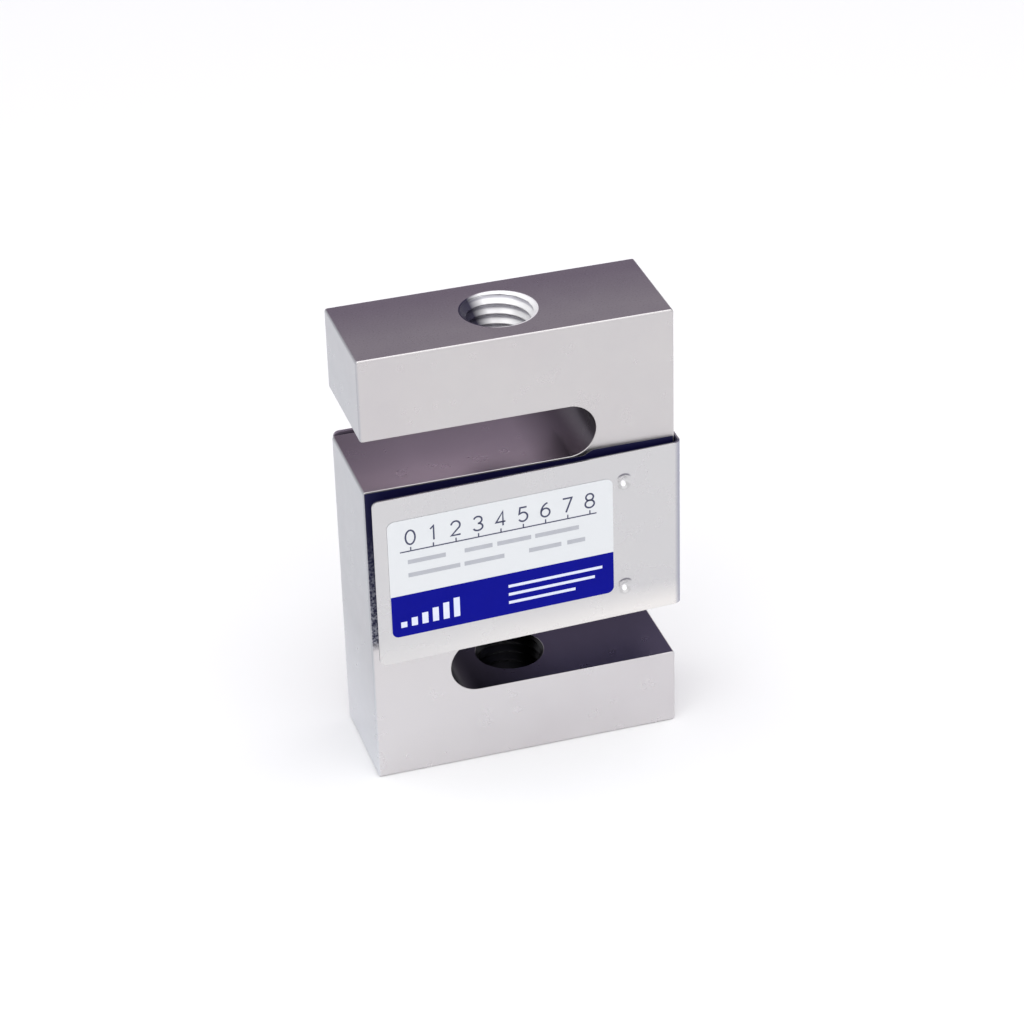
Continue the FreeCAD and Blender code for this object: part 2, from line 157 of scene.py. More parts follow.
def join_parts(parts: list[Shape]) -> Shape:
    """Put several (vertices, faces) pairs in one pair."""
    vertices, faces, first = [], [], 0
    for points, quads in parts:
        vertices.append(points)
        faces += [[int(number) + first for number in face] for face in quads]
        first += len(points)
    return np.concatenate(vertices), faces


def prism(outline: Array, normals: Array, section: Array, edges: Array | float) -> Shape:
    """A closed outline carried through a section, with a flat cap at each end.

    With r the edge radius at a station, ring k is the outline moved inwards along its normals
    by r times section[k, 2], at depth section[k, 0] plus r times section[k, 1]. The outline
    lies in X and Z, and depth is along Y.

    Args:
        outline: points (x, z).
        normals: outward unit normals at those points.
        section: rows of (depth, share of the radius in depth, share in inset).
        edges: edge radius, one for all or one a station.

    Returns:
        Vertices and faces.
    """
    radius = np.broadcast_to(np.asarray(edges, float), (len(outline),))
    rings = outline[None] - normals[None] * (section[:, 2, None] * radius)[..., None]
    depth = section[:, 0, None] + section[:, 1, None] * radius
    vertices = np.stack([rings[..., 0], depth, rings[..., 1]], axis=-1)
    count = len(outline)
    faces = grid_quads(len(section), count).tolist()
    last = (len(section) - 1) * count
    faces.append(list(range(count))[::-1])
    faces.append(list(range(last, last + count)))
    return vertices.reshape(-1, 3), faces


def rounded_section(near: float, far: float, steps: int = 4) -> Array:
    """A section with a flat side and a quarter-circle edge at each end.

    Args:
        near: depth of the first cap.
        far: depth of the last cap.
        steps: steps in each quarter circle.

    Returns:
        Rows of (depth, share of the edge radius in depth, share in inset).
    """
    turn = arc_steps(0, 90, steps)
    way = math.copysign(1.0, far - near)
    bend, inset = way * (1 - np.cos(turn)), 1 - np.sin(turn)
    first = np.stack([np.full_like(turn, near), bend, inset], 1)
    last = np.stack([np.full_like(turn, far), -bend, inset], 1)
    return np.concatenate([first, last[::-1]])


@dataclass
class Outline:
    """A closed run of straight lines with square corners, each rounded by its own radius.

    Corners run anticlockwise seen from the front. extra gives, for a run that starts at a
    corner, the X positions of more stations on it.
    """

    corners: Array
    radii: Array
    steps: int = 6
    extra: dict[int, Array] = field(default_factory=dict)
    first_extra: dict[int, int] = field(default_factory=dict)

    def stations(self) -> tuple[Array, Array]:
        """Work out the stations.

        At each corner P, between unit directions a and b, the arc of radius r is
        C - r cos(t) b + r sin(t) a about C = P - r a + r b, for t from 0 to a right angle.

        Returns:
            Points (x, z) and outward unit normals.
        """
        points, normals, count = [], [], 0
        for number, corner in enumerate(self.corners):
            before = corner - self.corners[number - 1]
            after = self.corners[(number + 1) % len(self.corners)] - corner
            a, b = before / np.linalg.norm(before), after / np.linalg.norm(after)
            radius = self.radii[number]
            steps = self.steps if radius < 2 else self.steps * 4
            t = arc_steps(0, 90, steps)[:, None]
            spoke = np.sin(t) * a - np.cos(t) * b
            convex = a[0] * b[1] - a[1] * b[0] > 0
            points.append(corner + radius * (b - a) + radius * spoke)
            normals.append(spoke if convex else -spoke)
            count += steps + 1
            if number in self.extra:
                x = self.extra[number]
                self.first_extra[number] = count
                points.append(np.stack([x, np.full_like(x, corner[1])], 1))
                normals.append(np.tile([b[1], -b[0]], (len(x), 1)))
                count += len(x)
        return np.concatenate(points), np.concatenate(normals)


def rectangle(left: float, right: float, bottom: float, top: float) -> Array:
    """The corners of a rectangle, anticlockwise."""
    return np.array([[left, bottom], [right, bottom], [right, top], [left, top]], float)


def lathe(axis_x: Array, radius: Array, height: float, count: int = 96) -> Shape:
    """A closed profile of (x, radius) turned about the X axis at a height.

    Args:
        axis_x: distances along X in millimetres, round the profile.
        radius: distances from the axis.
        height: Z of the axis.
        count: number of steps round the axis.

    Returns:
        Vertices and faces.
    """
    turn = np.linspace(0, 2 * np.pi, count, endpoint=False)
    x = np.broadcast_to(axis_x[None], (count, len(axis_x)))
    y = np.cos(turn)[:, None] * radius[None]
    z = np.sin(turn)[:, None] * radius[None] + height
    vertices = np.stack([x, y, z], axis=-1).reshape(-1, 3)
    rim = len(axis_x)
    faces, closing = grid_quads(count, rim), grid_quads(2, rim)
    closing = np.where(closing >= rim, closing - rim, closing + (count - 1) * rim)
    return vertices, faces.tolist() + closing.tolist()


def cylinder(start: Array, end: Array, radius: float, count: int = 96) -> Shape:
    """A closed cylinder from start to end, along X or Y, as two rings and two caps."""
    turn = np.linspace(0, 2 * np.pi, count, endpoint=False)
    spokes = np.zeros((count, 3))
    along = int(np.argmax(np.abs(end - start)))
    spokes[:, 1 - along] = np.cos(turn) * radius
    spokes[:, 2] = np.sin(turn) * radius
    vertices = np.concatenate([start + spokes, end + spokes])
    faces = grid_quads(2, count).tolist()
    return vertices, faces + [list(range(count)), list(range(count, 2 * count))]


def cut_away(piece: Piece, cutters: list[Shape]) -> None:
    """Cut closed shapes out of a piece, one after the other, and drop the cutters."""
    tools = []
    for number, (vertices, faces) in enumerate(cutters):
        tool = new_piece(f"{piece.name}_cutter_{number}", vertices, faces)
        change = piece.modifiers.new(f"cut_{number}", "BOOLEAN")
        change.operation = "DIFFERENCE"
        change.solver = "EXACT"
        change.object = tool
        tools.append(tool)
    apply_all(piece)
    for tool in tools:
        bpy.data.objects.remove(tool)


def apply_all(piece: Piece) -> None:
    """Replace a piece's mesh by what its modifiers make of it."""
    bpy.context.view_layer.update()
    graph = bpy.context.evaluated_depsgraph_get()
    mesh = bpy.data.meshes.new_from_object(piece.evaluated_get(graph))
    old = piece.data
    piece.modifiers.clear()
    piece.data = mesh
    bpy.data.meshes.remove(old)
    mesh.name = piece.name


def weigh_normals(piece: Piece, sharp_degrees: float = 50) -> None:
    """Shade large faces flat and small edge faces round, with edges past an angle left sharp."""
    mesh = piece.data
    mesh.polygons.foreach_set("use_smooth", [True] * len(mesh.polygons))
    mesh.set_sharp_from_angle(angle=math.radians(sharp_degrees))
    change = piece.modifiers.new("weighted", "WEIGHTED_NORMAL")
    change.mode = "FACE_AREA"
    change.weight = 70
    change.keep_sharp = True
    apply_all(piece)


def settle(piece: Piece, finish: "Finish", slot: str, *nodes: str) -> Piece:
    """Give a piece its finish and its body, and hide the CAD nodes it stands for."""
    piece.data.materials.clear()
    piece.data.materials.append(finish.paint())
    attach(piece, BODY)
    if nodes:
        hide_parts(*nodes)
    return piece


def node_span(node: str) -> tuple[Array, Array]:
    """Lowest and highest corner of a CAD node in millimetres."""
    low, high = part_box(node)
    return np.array(low) / MM, np.array(high) / MM


# ------------------------------------------------------------------ shader tools


class Wire:
    """A value in a material's tree. Arithmetic on it adds Math nodes."""

    def __init__(self, recipe: "Recipe", socket: bpy.types.NodeSocket) -> None:
        """Wrap an output socket."""
        self.recipe = recipe
        self.socket = socket

    def _math(self, operation: str, first: Any, second: Any, clamp: bool = False) -> "Wire":
        """Add one Math node."""
        settings = {"operation": operation, "use_clamp": clamp}
        return self.recipe.add("ShaderNodeMath", settings, {0: first, 1: second})

    def __add__(self, other: Any) -> "Wire":
        """self + other."""
        return self._math("ADD", self, other)

    def __sub__(self, other: Any) -> "Wire":
        """self - other."""
        return self._math("SUBTRACT", self, other)

    def __rsub__(self, other: Any) -> "Wire":
        """other - self."""
        return self._math("SUBTRACT", other, self)

    def __mul__(self, other: Any) -> "Wire":
        """self * other."""
        return self._math("MULTIPLY", self, other)

    def __abs__(self) -> "Wire":
        """The value without its sign."""
        return self._math("ABSOLUTE", self, 0.0)

    def above(self, limit: float, soft: float) -> "Wire":
        """0 below limit, 1 above limit + soft, and a straight ramp between them."""
        return self._math("DIVIDE", self - limit, soft, clamp=True)

    def below(self, limit: float, soft: float) -> "Wire":
        """1 below limit - soft, 0 above limit, and a straight ramp between them."""
        return self._math("DIVIDE", limit - self, soft, clamp=True)


class Recipe:
    """One material, or the world, under construction."""

    def __init__(self, owner: bpy.types.ID, shader: str = "BSDF_PRINCIPLED") -> None:
        """Start from the owner's own tree and its shader of the given type."""
        owner.use_nodes = True
        self.material = owner
        self.tree = owner.node_tree
        self.shader = next(n for n in self.tree.nodes if n.type == shader)

    def add(self, kind: str, settings: dict[str, Any], sockets: dict[Any, Any],
            output: Any = 0) -> Wire:
        """Add any node.

        Args:
            kind: the node's type.
            settings: properties of the node, set first.
            sockets: input name or number to a value or a Wire.
            output: name or number of the output to return.

        Returns:
            The chosen output as a Wire.
        """
        node = self.tree.nodes.new(kind)
        for name, value in settings.items():
            setattr(node, name, value)
        for name, value in sockets.items():
            self.feed(node.inputs[name], value)
        return Wire(self, node.outputs[output])

    def feed(self, socket: bpy.types.NodeSocket, value: Any) -> None:
        """Link a Wire to a socket, or set the socket's own value."""
        if isinstance(value, Wire):
            self.tree.links.new(value.socket, socket)
        else:
            socket.default_value = value

    def place(self) -> Wire:
        """The point's position on the object."""
        return self.add("ShaderNodeTexCoord", {}, {}, "Object")

    def mark(self, name: str) -> Wire:
        """A named value of the mesh, sharpened to a step from 0 to 1 at a half."""
        value = self.add("ShaderNodeAttribute", {"attribute_name": name}, {}, "Fac")
        return value.above(*MARK_RAMP)

    def axes(self) -> tuple[Wire, Wire, Wire]:
        """The point's X, Y and Z in millimetres."""
        parts = self.add("ShaderNodeSeparateXYZ", {}, {0: self.place()})
        return tuple(Wire(self, output) * (1 / MM) for output in parts.socket.node.outputs)

    def noise(self, size_mm: float, detail: float = 3.0) -> Wire:
        """Noise from 0 to 1 whose lumps are about size_mm across.

        Args:
            size_mm: size of a lump in millimetres.
            detail: octaves of finer noise.

        Returns:
            The noise value.
        """
        values = {
            "Vector": self.place(), "Scale": 1 / (size_mm * MM), "Detail": detail,
            "Roughness": NOISE_ROUGHNESS,
        }
        return self.add("ShaderNodeTexNoise", {}, values, "Fac")

    def mix(self, factor: Any, first: Any, second: Any) -> Wire:
        """Mix two colours."""
        node = self.tree.nodes.new("ShaderNodeMix")
        node.data_type = "RGBA"
        self.feed(node.inputs[0], factor)
        self.feed(node.inputs[6], first)
        self.feed(node.inputs[7], second)
        return Wire(self, node.outputs[2])

    def bump(self, height: Wire, depth_mm: float) -> Wire:
        """A normal bent by a height from 0 to 1 that stands for depth_mm."""
        values = {"Height": height, "Distance": depth_mm * MM, "Strength": 1.0}
        return self.add("ShaderNodeBump", {}, values, "Normal")

    def finish(self, **sockets: Any) -> bpy.types.Material:
        """Feed the shader's sockets, named in words joined by underscores."""
        for name, value in sockets.items():
            title = name.replace("_", " ").title().replace("Ior", "IOR")
            self.feed(self.shader.inputs[title], value)
        return self.material


def tone(red: float, green: float, blue: float) -> tuple[float, float, float, float]:
    """A display colour from 0 to 255 as linear light."""
    values = np.array([red, green, blue], float) / 255
    linear = np.where(values <= 0.04045, values / 12.92, ((values + 0.055) / 1.055) ** 2.4)
    return (*map(float, linear), 1.0)


@dataclass(frozen=True)
class Finish:
    """A plain finish: two near colours in soft blotches, a roughness that varies, and a grain."""

    name: str
    colour: tuple
    second: tuple
    blotch_mm: float = 4.0
    metallic: float = 0.0
    roughness: Pair = (0.4, 0.5)
    grain_mm: float = 0.2
    grain_depth_mm: float = 0.004
    coat: float = 0.0
    gloss: float = 0.5
    rough_scale: float = 0.6

    def base(self, recipe: Recipe) -> Wire:
        """The colour over the surface."""
        return recipe.mix(recipe.noise(self.blotch_mm), self.colour, self.second)

    def rough(self, recipe: Recipe) -> Wire:
        """The roughness over the surface."""
        low, high = self.roughness
        return recipe.noise(self.blotch_mm * self.rough_scale) * (high - low) + low

    def relief(self, recipe: Recipe) -> Wire:
        """The normal over the surface."""
        return recipe.bump(recipe.noise(self.grain_mm, 2.0), self.grain_depth_mm)

    def sockets(self, recipe: Recipe) -> dict[str, Any]:
        """What feeds each of the shader's sockets."""
        return {
            "base_color": self.base(recipe), "roughness": self.rough(recipe),
            "normal": self.relief(recipe), "metallic": self.metallic,
            "coat_weight": self.coat, "specular_ior_level": self.gloss,
        }

    def paint(self) -> bpy.types.Material:
        """Return the material, made once."""
        if self.name not in painted:
            recipe = Recipe(bpy.data.materials.new(self.name + "_finish"))
            painted[self.name] = recipe.finish(**self.sockets(recipe))
        return painted[self.name]


@dataclass(frozen=True)
class SatinNickel(Finish):
    """Nickel plate on a blasted face, with faint warm and mauve clouds and a fine sparkle of
    painted glints.

    The front and the cooler left side are paler towards the foot as painted light, the left side is
    a darker copy as painted shade, and the top has painted shade at the back. The milled walls of
    the two slots carry painted shade, darker towards their blind ends. The faces under the cover
    carry a dark blue painted shade, with speckled painted light lower down. The upper thread is
    near-white as painted light, with painted shade in its root and on one side, and the lower bore
    is dark all round as painted shade.

    Each slot is a span of Z. Every other pair is a ramp: its limit and its length.
    """

    stain: tuple = tone(190, 182, 187)
    # Painted light: the nickel paler towards the foot, a painted reflection of the bright floor.
    low: tuple = tone(215, 212, 214)
    # Painted light and shade on the left side: a darker, cooler copy of the nickel above, paler
    # towards the foot.
    side: tuple = tone(176, 178, 183)
    painted_left_foot_light: tuple = tone(216, 218, 223)
    # Painted shade at the back of the top face.
    painted_top_back_shade: tuple = tone(172, 164, 173)
    # Bright specks of painted glint on the faces that face up.
    painted_glint: tuple = tone(226, 226, 238)
    # Painted shade on the walls of the upper and the lower slot.
    painted_upper_slot_shade: tuple = tone(204, 192, 201)
    painted_lower_slot_shade: tuple = tone(114, 110, 132)
    # Painted shade at the slots' blind ends; the upper one also colours the dark grain specks.
    speck_and_upper_end_shade: tuple = tone(44, 36, 50)
    painted_lower_end_shade: tuple = tone(6, 5, 12)
    # Painted shade, dark blue, on the block's faces in the gap under the cover.
    painted_gap_shade: tuple = tone(8, 6, 58)
    # Painted light, pale and speckled, on the lower part of the gap's painted shade.
    painted_gap_light: tuple = tone(196, 198, 210)
    # Painted shade all round the lower bore.
    painted_lower_bore_shade: tuple = tone(40, 40, 42)
    # The upper thread near-white as painted light, with painted shade in its root.
    painted_lit_thread: tuple = tone(249, 248, 249)
    thread_root: tuple = tone(196, 194, 202)
    # Painted shade on one side of the upper bore.
    painted_bore_side_shade: tuple = tone(40, 35, 60)
    upper_slot_mm: Pair = (53.35, 62.25)
    lower_slot_mm: Pair = (13.35, 22.85)
    end_fade_mm: Pair = (10.0, 20.0)
    tip_mm: float = 12.6
    top_mm: float = 76.1
    bore_mm: float = 6.24
    soft_mm: float = 0.02
    lip_ramp: Pair = (9.4, 0.05)
    root_ramp: Pair = (5.62, 0.15)
    mouth_ramp: Pair = (75.7, 0.1)
    # Where the gap's painted shade lies, with its upper limit a step higher past the upper slot's
    # blind end.
    gap_shade_foot_ramp: Pair = (24.2, 2.0)
    gap_shade_side_ramp: Pair = (25.25, 0.1)
    gap_shade_top_ramp: Pair = (53.2, 0.1)
    gap_shade_step_ramp: Pair = (10.4, 1.5)
    gap_shade_step_mm: float = 0.8
    # The plane and the ramp of the painted shade on one side of the upper bore.
    bore_shade_plane: tuple[float, float, float] = (26.67, 0.95, 0.35)
    bore_shade_ramp: Pair = (1.2, 2.4)
    # Where the gap's painted shade gives way to speckled painted light lower down.
    gap_light_ramp: Pair = (46.0, 18.0)
    gap_speck_mm: float = 0.45
    gap_speck_ramp: Pair = (0.42, 0.25)
    # Where the painted light towards the foot lies.
    low_ramp: Pair = (36.0, 28.0)
    # Where the left side's painted light and shade lie.
    left_ramp: Pair = (-25.0, 0.3)
    foot_ramp: Pair = (24.0, 22.0)
    # Where painted shade falls at the back of the top and of the slots, and at the slots' open end.
    back_ramp: Pair = (-5.0, 12.0)
    open_end_ramp: Pair = (-15.0, 14.0)
    spark_mm: float = 0.3
    spark_ramp: Pair = (0.58, 0.14)
    speck_ramp: Pair = (0.42, 0.14)
    stain_mm: float = 22.0
    stain_ramp: Pair = (0.5, 0.25)
    low_share: float = 0.85
    side_share: float = 0.94
    stain_share: float = 0.22
    spark_share: float = 0.22
    speck_share: float = 0.24
    open_end_share: float = 0.26
    back_share: float = 0.3
    gap_light_share: float = 0.8
    thread_rough: float = 0.02
    gap_shade_rough: float = 0.2
    thread_dullness: float = 0.6

    def spans(self, recipe: Recipe) -> dict[str, Wire]:
        """Where each part of the surface is, from 0 to 1.

        The painted shade in the upper bore is on one side of a slanting plane. The upper limit of
        the gap's painted shade is a step higher past the blind end of the upper slot.

        Returns:
            The two bores, the thread's root, the bore's side with painted shade, the faces with
            the gap's painted shade, where that shade is speckled with painted light, the top face,
            the lower part of the front, the left side and its foot, the back, the open end of the
            slots, the two slots' walls, and how far along each lies its blind end.
        """
        x, y, z = recipe.axes()
        soft = self.soft_mm
        inside = abs(y).below(*self.lip_ramp)
        step = x.above(*self.gap_shade_step_ramp) * self.gap_shade_step_mm
        across = recipe.add("ShaderNodeMath", {"operation": "POWER"}, {0: x * x + y * y, 1: 0.5})
        bore = across.below(self.bore_mm, soft)
        offset, per_x, per_z = self.bore_shade_plane
        spans = {
            "lower_bore": bore * z.below(self.lower_slot_mm[0], soft),
            "upper_bore": bore * z.above(self.upper_slot_mm[1], soft),
            # The thread's root, which carries painted shade.
            "root": across.above(*self.root_ramp) * z.below(*self.mouth_ramp),
            # Painted shade on one side of the upper bore.
            "painted_shade_side": (offset - x * per_x - z * per_z).above(*self.bore_shade_ramp),
            # The gap's painted shade on the faces under the cover.
            "gap_shaded": (1 - inside) * z.above(*self.gap_shade_foot_ramp)
            * abs(x).below(*self.gap_shade_side_ramp) * (z - step).below(*self.gap_shade_top_ramp),
            # Speckled painted light on the lower part of the gap's painted shade.
            "gap_lit": z.below(*self.gap_light_ramp)
            * recipe.noise(self.gap_speck_mm).above(*self.gap_speck_ramp),
            "top": z.above(self.top_mm, soft),
            "low": z.below(*self.low_ramp),
            "left": x.below(*self.left_ramp),
            "foot": z.below(*self.foot_ramp),
            "back": y.above(*self.back_ramp),
            "open_end": x.below(*self.open_end_ramp),
        }
        for name, (bottom, roof), along, fade in (
            ("upper", self.upper_slot_mm, x, self.end_fade_mm[0]),
            ("lower", self.lower_slot_mm, 0 - x, self.end_fade_mm[1]),
        ):
            within = z.above(bottom, soft) * z.below(roof, soft) * along.below(self.tip_mm, soft)
            spans[name] = within * inside
            spans[name + "_end"] = along.above(self.tip_mm - fade, fade)
        return spans

    def sockets(self, recipe: Recipe) -> dict[str, Any]:
        """What feeds each of the shader's sockets."""
        spans = self.spans(recipe)
        fine = recipe.noise(self.spark_mm, 2.0)
        facing_up = spans["top"] + spans["upper"] + spans["lower"]
        colour = recipe.mix(recipe.noise(self.blotch_mm, 4.0), self.colour, self.second)
        # Painted light: paler towards the foot.
        colour = recipe.mix(spans["low"] * self.low_share, colour, self.low)
        # Painted light and shade on the left side.
        side = recipe.mix(spans["foot"], self.side, self.painted_left_foot_light)
        colour = recipe.mix(spans["left"] * self.side_share, colour, side)
        # Painted shade at the back of the top face.
        colour = recipe.mix(spans["top"] * spans["back"], colour, self.painted_top_back_shade)
        stained = recipe.noise(self.stain_mm, 2.0).above(*self.stain_ramp)
        colour = recipe.mix(stained * self.stain_share, colour, self.stain)
        grains = facing_up * (1 - spans["upper"] * spans["upper_end"])
        # Painted glints: bright specks on the faces that face up.
        painted_glints = grains * fine.above(*self.spark_ramp) * self.spark_share
        colour = recipe.mix(painted_glints, colour, self.painted_glint)
        specks = grains * fine.below(*self.speck_ramp) * self.speck_share
        colour = recipe.mix(specks, colour, self.speck_and_upper_end_shade)
        # Painted shade in the slots: darker towards the blind ends, the open end and the back.
        shaded = spans["open_end"] * self.open_end_share + spans["back"] * self.back_share
        for slot, wall, end in (
            ("upper", self.painted_upper_slot_shade, self.speck_and_upper_end_shade),
            ("lower", self.painted_lower_slot_shade, self.painted_lower_end_shade),
        ):
            shade = recipe.mix(shaded, recipe.mix(spans[slot + "_end"], wall, end), end)
            colour = recipe.mix(spans[slot], colour, shade)
        # The upper thread near-white as painted light, with painted shade in its root.
        thread = recipe.mix(spans["root"], self.painted_lit_thread, self.thread_root)
        # Painted shade on one side of the upper bore.
        thread = recipe.mix(spans["painted_shade_side"], thread, self.painted_bore_side_shade)
        # The gap's painted shade, with speckled painted light lower down.
        painted_gap_shade = recipe.mix(spans["gap_lit"] * self.gap_light_share, self.painted_gap_shade, self.painted_gap_light)
        # Painted light and shade on the upper thread, painted shade in the lower bore, and the
        # gap's painted shade.
        for name, layer in (("upper_bore", thread), ("lower_bore", self.painted_lower_bore_shade), ("gap_shaded", painted_gap_shade)):
            colour = recipe.mix(spans[name], colour, layer)
        return {
            "base_color": colour,
            "roughness": self.rough(recipe) + spans["upper_bore"] * self.thread_rough
            + spans["gap_shaded"] * self.gap_shade_rough,
            "normal": recipe.bump(fine * facing_up, self.grain_depth_mm),
            "metallic": 1 - spans["gap_shaded"] - spans["upper_bore"] * self.thread_dullness,
        }


@dataclass(frozen=True)
class CoverSteel(Finish):
    """Satin sheet steel outside, and a dark blue painted shade on the faces towards the block.

    The front fold and the rear panel's top edge are darker as painted shade, the lower margin is
    paler as painted light, more so to the right, and each dimple has a painted highlight and a ring
    of painted shade. Every pair is a ramp: its limit and its length.
    """

    # Painted shade, dark blue, on the cover's faces towards the block.
    painted_gap_shade: tuple = tone(8, 8, 44)
    # Painted shade on the front fold.
    painted_fold_shade: tuple = tone(140, 142, 162)
    # Painted light: a paler lower margin, more so to the right.
    low: tuple = tone(231, 228, 225)
    # Colours of the dimples' painted highlight and ring of painted shade.
    painted_dimple_highlight: tuple = tone(252, 251, 252)
    painted_dimple_shade: tuple = tone(128, 126, 134)
    # Painted shade on the rear panel's top edge.
    painted_rear_edge_shade: tuple = tone(112, 100, 116)
    # Where the fold's painted shade lies.
    bend_x_ramp: Pair = (24.9, 1.0)
    bend_y_ramp: Pair = (9.75, 0.3)
    # Where the lower margin's painted light lies, and how it grows to the right.
    low_ramp: Pair = (28.5, 4.0)
    right_ramp: Pair = (-20.0, 40.0)
    left_share: float = 0.3
    # Where the rear edge's painted shade lies.
    rear_y_ramp: Pair = (9.9, 0.1)
    rear_z_ramp: Pair = (52.2, 1.0)
    inner_rough: float = 0.3

    def sockets(self, recipe: Recipe) -> dict[str, Any]:
        """What feeds each of the shader's sockets."""
        inside = recipe.mark("inner_face")
        x, y, z = recipe.axes()
        # Painted light: a paler lower margin, more so to the right.
        share = x.above(*self.right_ramp) * (1 - self.left_share) + self.left_share
        colour = recipe.mix(z.below(*self.low_ramp) * share, self.base(recipe), self.low)
        # Where the rear panel's top edge carries painted shade.
        rear = y.above(*self.rear_y_ramp) * z.above(*self.rear_z_ramp)
        for where, layer in (
            # Painted shade on the front fold.
            (x.above(*self.bend_x_ramp) * (0 - y).above(*self.bend_y_ramp), self.painted_fold_shade),
            # Painted highlight and painted shade at the dimples.
            (recipe.mark("painted_dimple_highlight"), self.painted_dimple_highlight),
            (recipe.mark("painted_dimple_shade"), self.painted_dimple_shade),
            # Painted shade, dark blue, on the faces towards the block.
            (inside, self.painted_gap_shade),
            # Painted shade on the rear panel's top edge.
            (rear, self.painted_rear_edge_shade),
        ):
            colour = recipe.mix(where, colour, layer)
        return {
            "base_color": colour,
            "roughness": self.rough(recipe) + inside * self.inner_rough,
            "metallic": (1 - inside) * (1 - rear),
        }


def ink(name: str, first: tuple, second: tuple, blotch_mm: float) -> Finish:
    """The finish of a printed ink."""
    return Finish(name, tone(*first), tone(*second), blotch_mm, 0.0, (0.35, 0.45), 0.3, 0.001)


class Finishes:
    """Every finish of the load cell."""

    BODY = SatinNickel(
        "nickel_plated_steel", tone(203, 200, 199), tone(197, 194, 195), 6.0, 1.0,
        (0.24, 0.34),
    )
    COVER = CoverSteel(
        "cover_sheet_steel", tone(204, 203, 203), tone(201, 200, 202), 9.0, 1.0,
        (0.24, 0.30),
    )
    FILM = Finish(
        "label_white_film", tone(220, 222, 224), tone(217, 220, 223), 12.0, 0.0,
        (0.36, 0.44), 0.5, 0.002, 0.05, 0.35,
    )
    BAND = Finish(
        "label_blue_ink", tone(0, 6, 142), tone(0, 4, 128), 5.0, 0.0, (0.36, 0.46), 0.4, 0.001,
        0.0, 0.08,
    )
    SCALE_INK = ink("label_dark_ink", (48, 50, 84), (60, 64, 92), 2.0)
    GREY_INK = ink("label_grey_ink", (168, 170, 178), (182, 184, 190), 1.5)
    WHITE_INK = ink("label_white_ink", (226, 230, 246), (205, 212, 238), 1.2)
    BUSHING = Finish(
        "plated_brass", tone(205, 200, 192), tone(196, 190, 180), 3.0, 1.0, (0.2, 0.3), 0.15, 0.002
    )
    GROMMET = Finish(
        "black_rubber", tone(30, 30, 32), tone(38, 38, 40), 2.0, 0.0, (0.55, 0.7), 0.12, 0.01
    )
    SEALANT = Finish(
        "dark_sealant", tone(14, 14, 42), tone(20, 20, 36), 2.5, 0.0, (0.5, 0.7), 0.6, 0.03
    )
    LID = Finish(
        "lid_steel", tone(190, 190, 194), tone(178, 178, 184), 5.0, 1.0, (0.3, 0.42), 0.2, 0.003
    )
    FILM_AMBER = Finish(
        "gauge_film", tone(205, 140, 50), tone(190, 124, 40), 3.0, 0.0, (0.25, 0.35),
        0.2, 0.002, 0.4,
    )
    FOIL = Finish(
        "gauge_foil", tone(200, 182, 160), tone(188, 168, 146), 1.0, 1.0, (0.25, 0.35), 0.05, 0.001
    )
    LAMINATE = Finish(
        "terminal_laminate", tone(168, 150, 92), tone(150, 134, 80), 0.8, 0.0, (0.45, 0.6),
        0.1, 0.004,
    )
    TIN = Finish(
        "tinned_copper", tone(208, 206, 202), tone(192, 190, 188), 0.8, 1.0, (0.2, 0.35), 0.1, 0.004
    )
    BOARD = Finish(
        "circuit_board", tone(24, 96, 52), tone(18, 80, 44), 2.0, 0.0, (0.25, 0.35), 0.2, 0.003, 0.5
    )
    CHIP = Finish(
        "chip_ceramic", tone(44, 44, 48), tone(56, 56, 60), 1.0, 0.0, (0.5, 0.6), 0.08, 0.004
    )
    POTTING = Finish(
        "clear_potting", tone(214, 212, 204), tone(200, 198, 190), 5.0, 0.0, (0.25, 0.4), 1.0, 0.02
    )
    BRASS = Finish(
        "plain_brass", tone(196, 164, 100), tone(182, 150, 88), 2.0, 1.0, (0.25, 0.35), 0.15, 0.003
    )


def insulation(colour: str, red: int, green: int, blue: int) -> Finish:
    """The finish of a wire's insulation."""
    return Finish(
        colour + "_insulation", tone(red, green, blue),
        tone(red * 0.85, green * 0.85, blue * 0.85), 2.0, 0.0, (0.3, 0.4), 0.3, 0.003,
    )


# ------------------------------------------------------------------ spring body


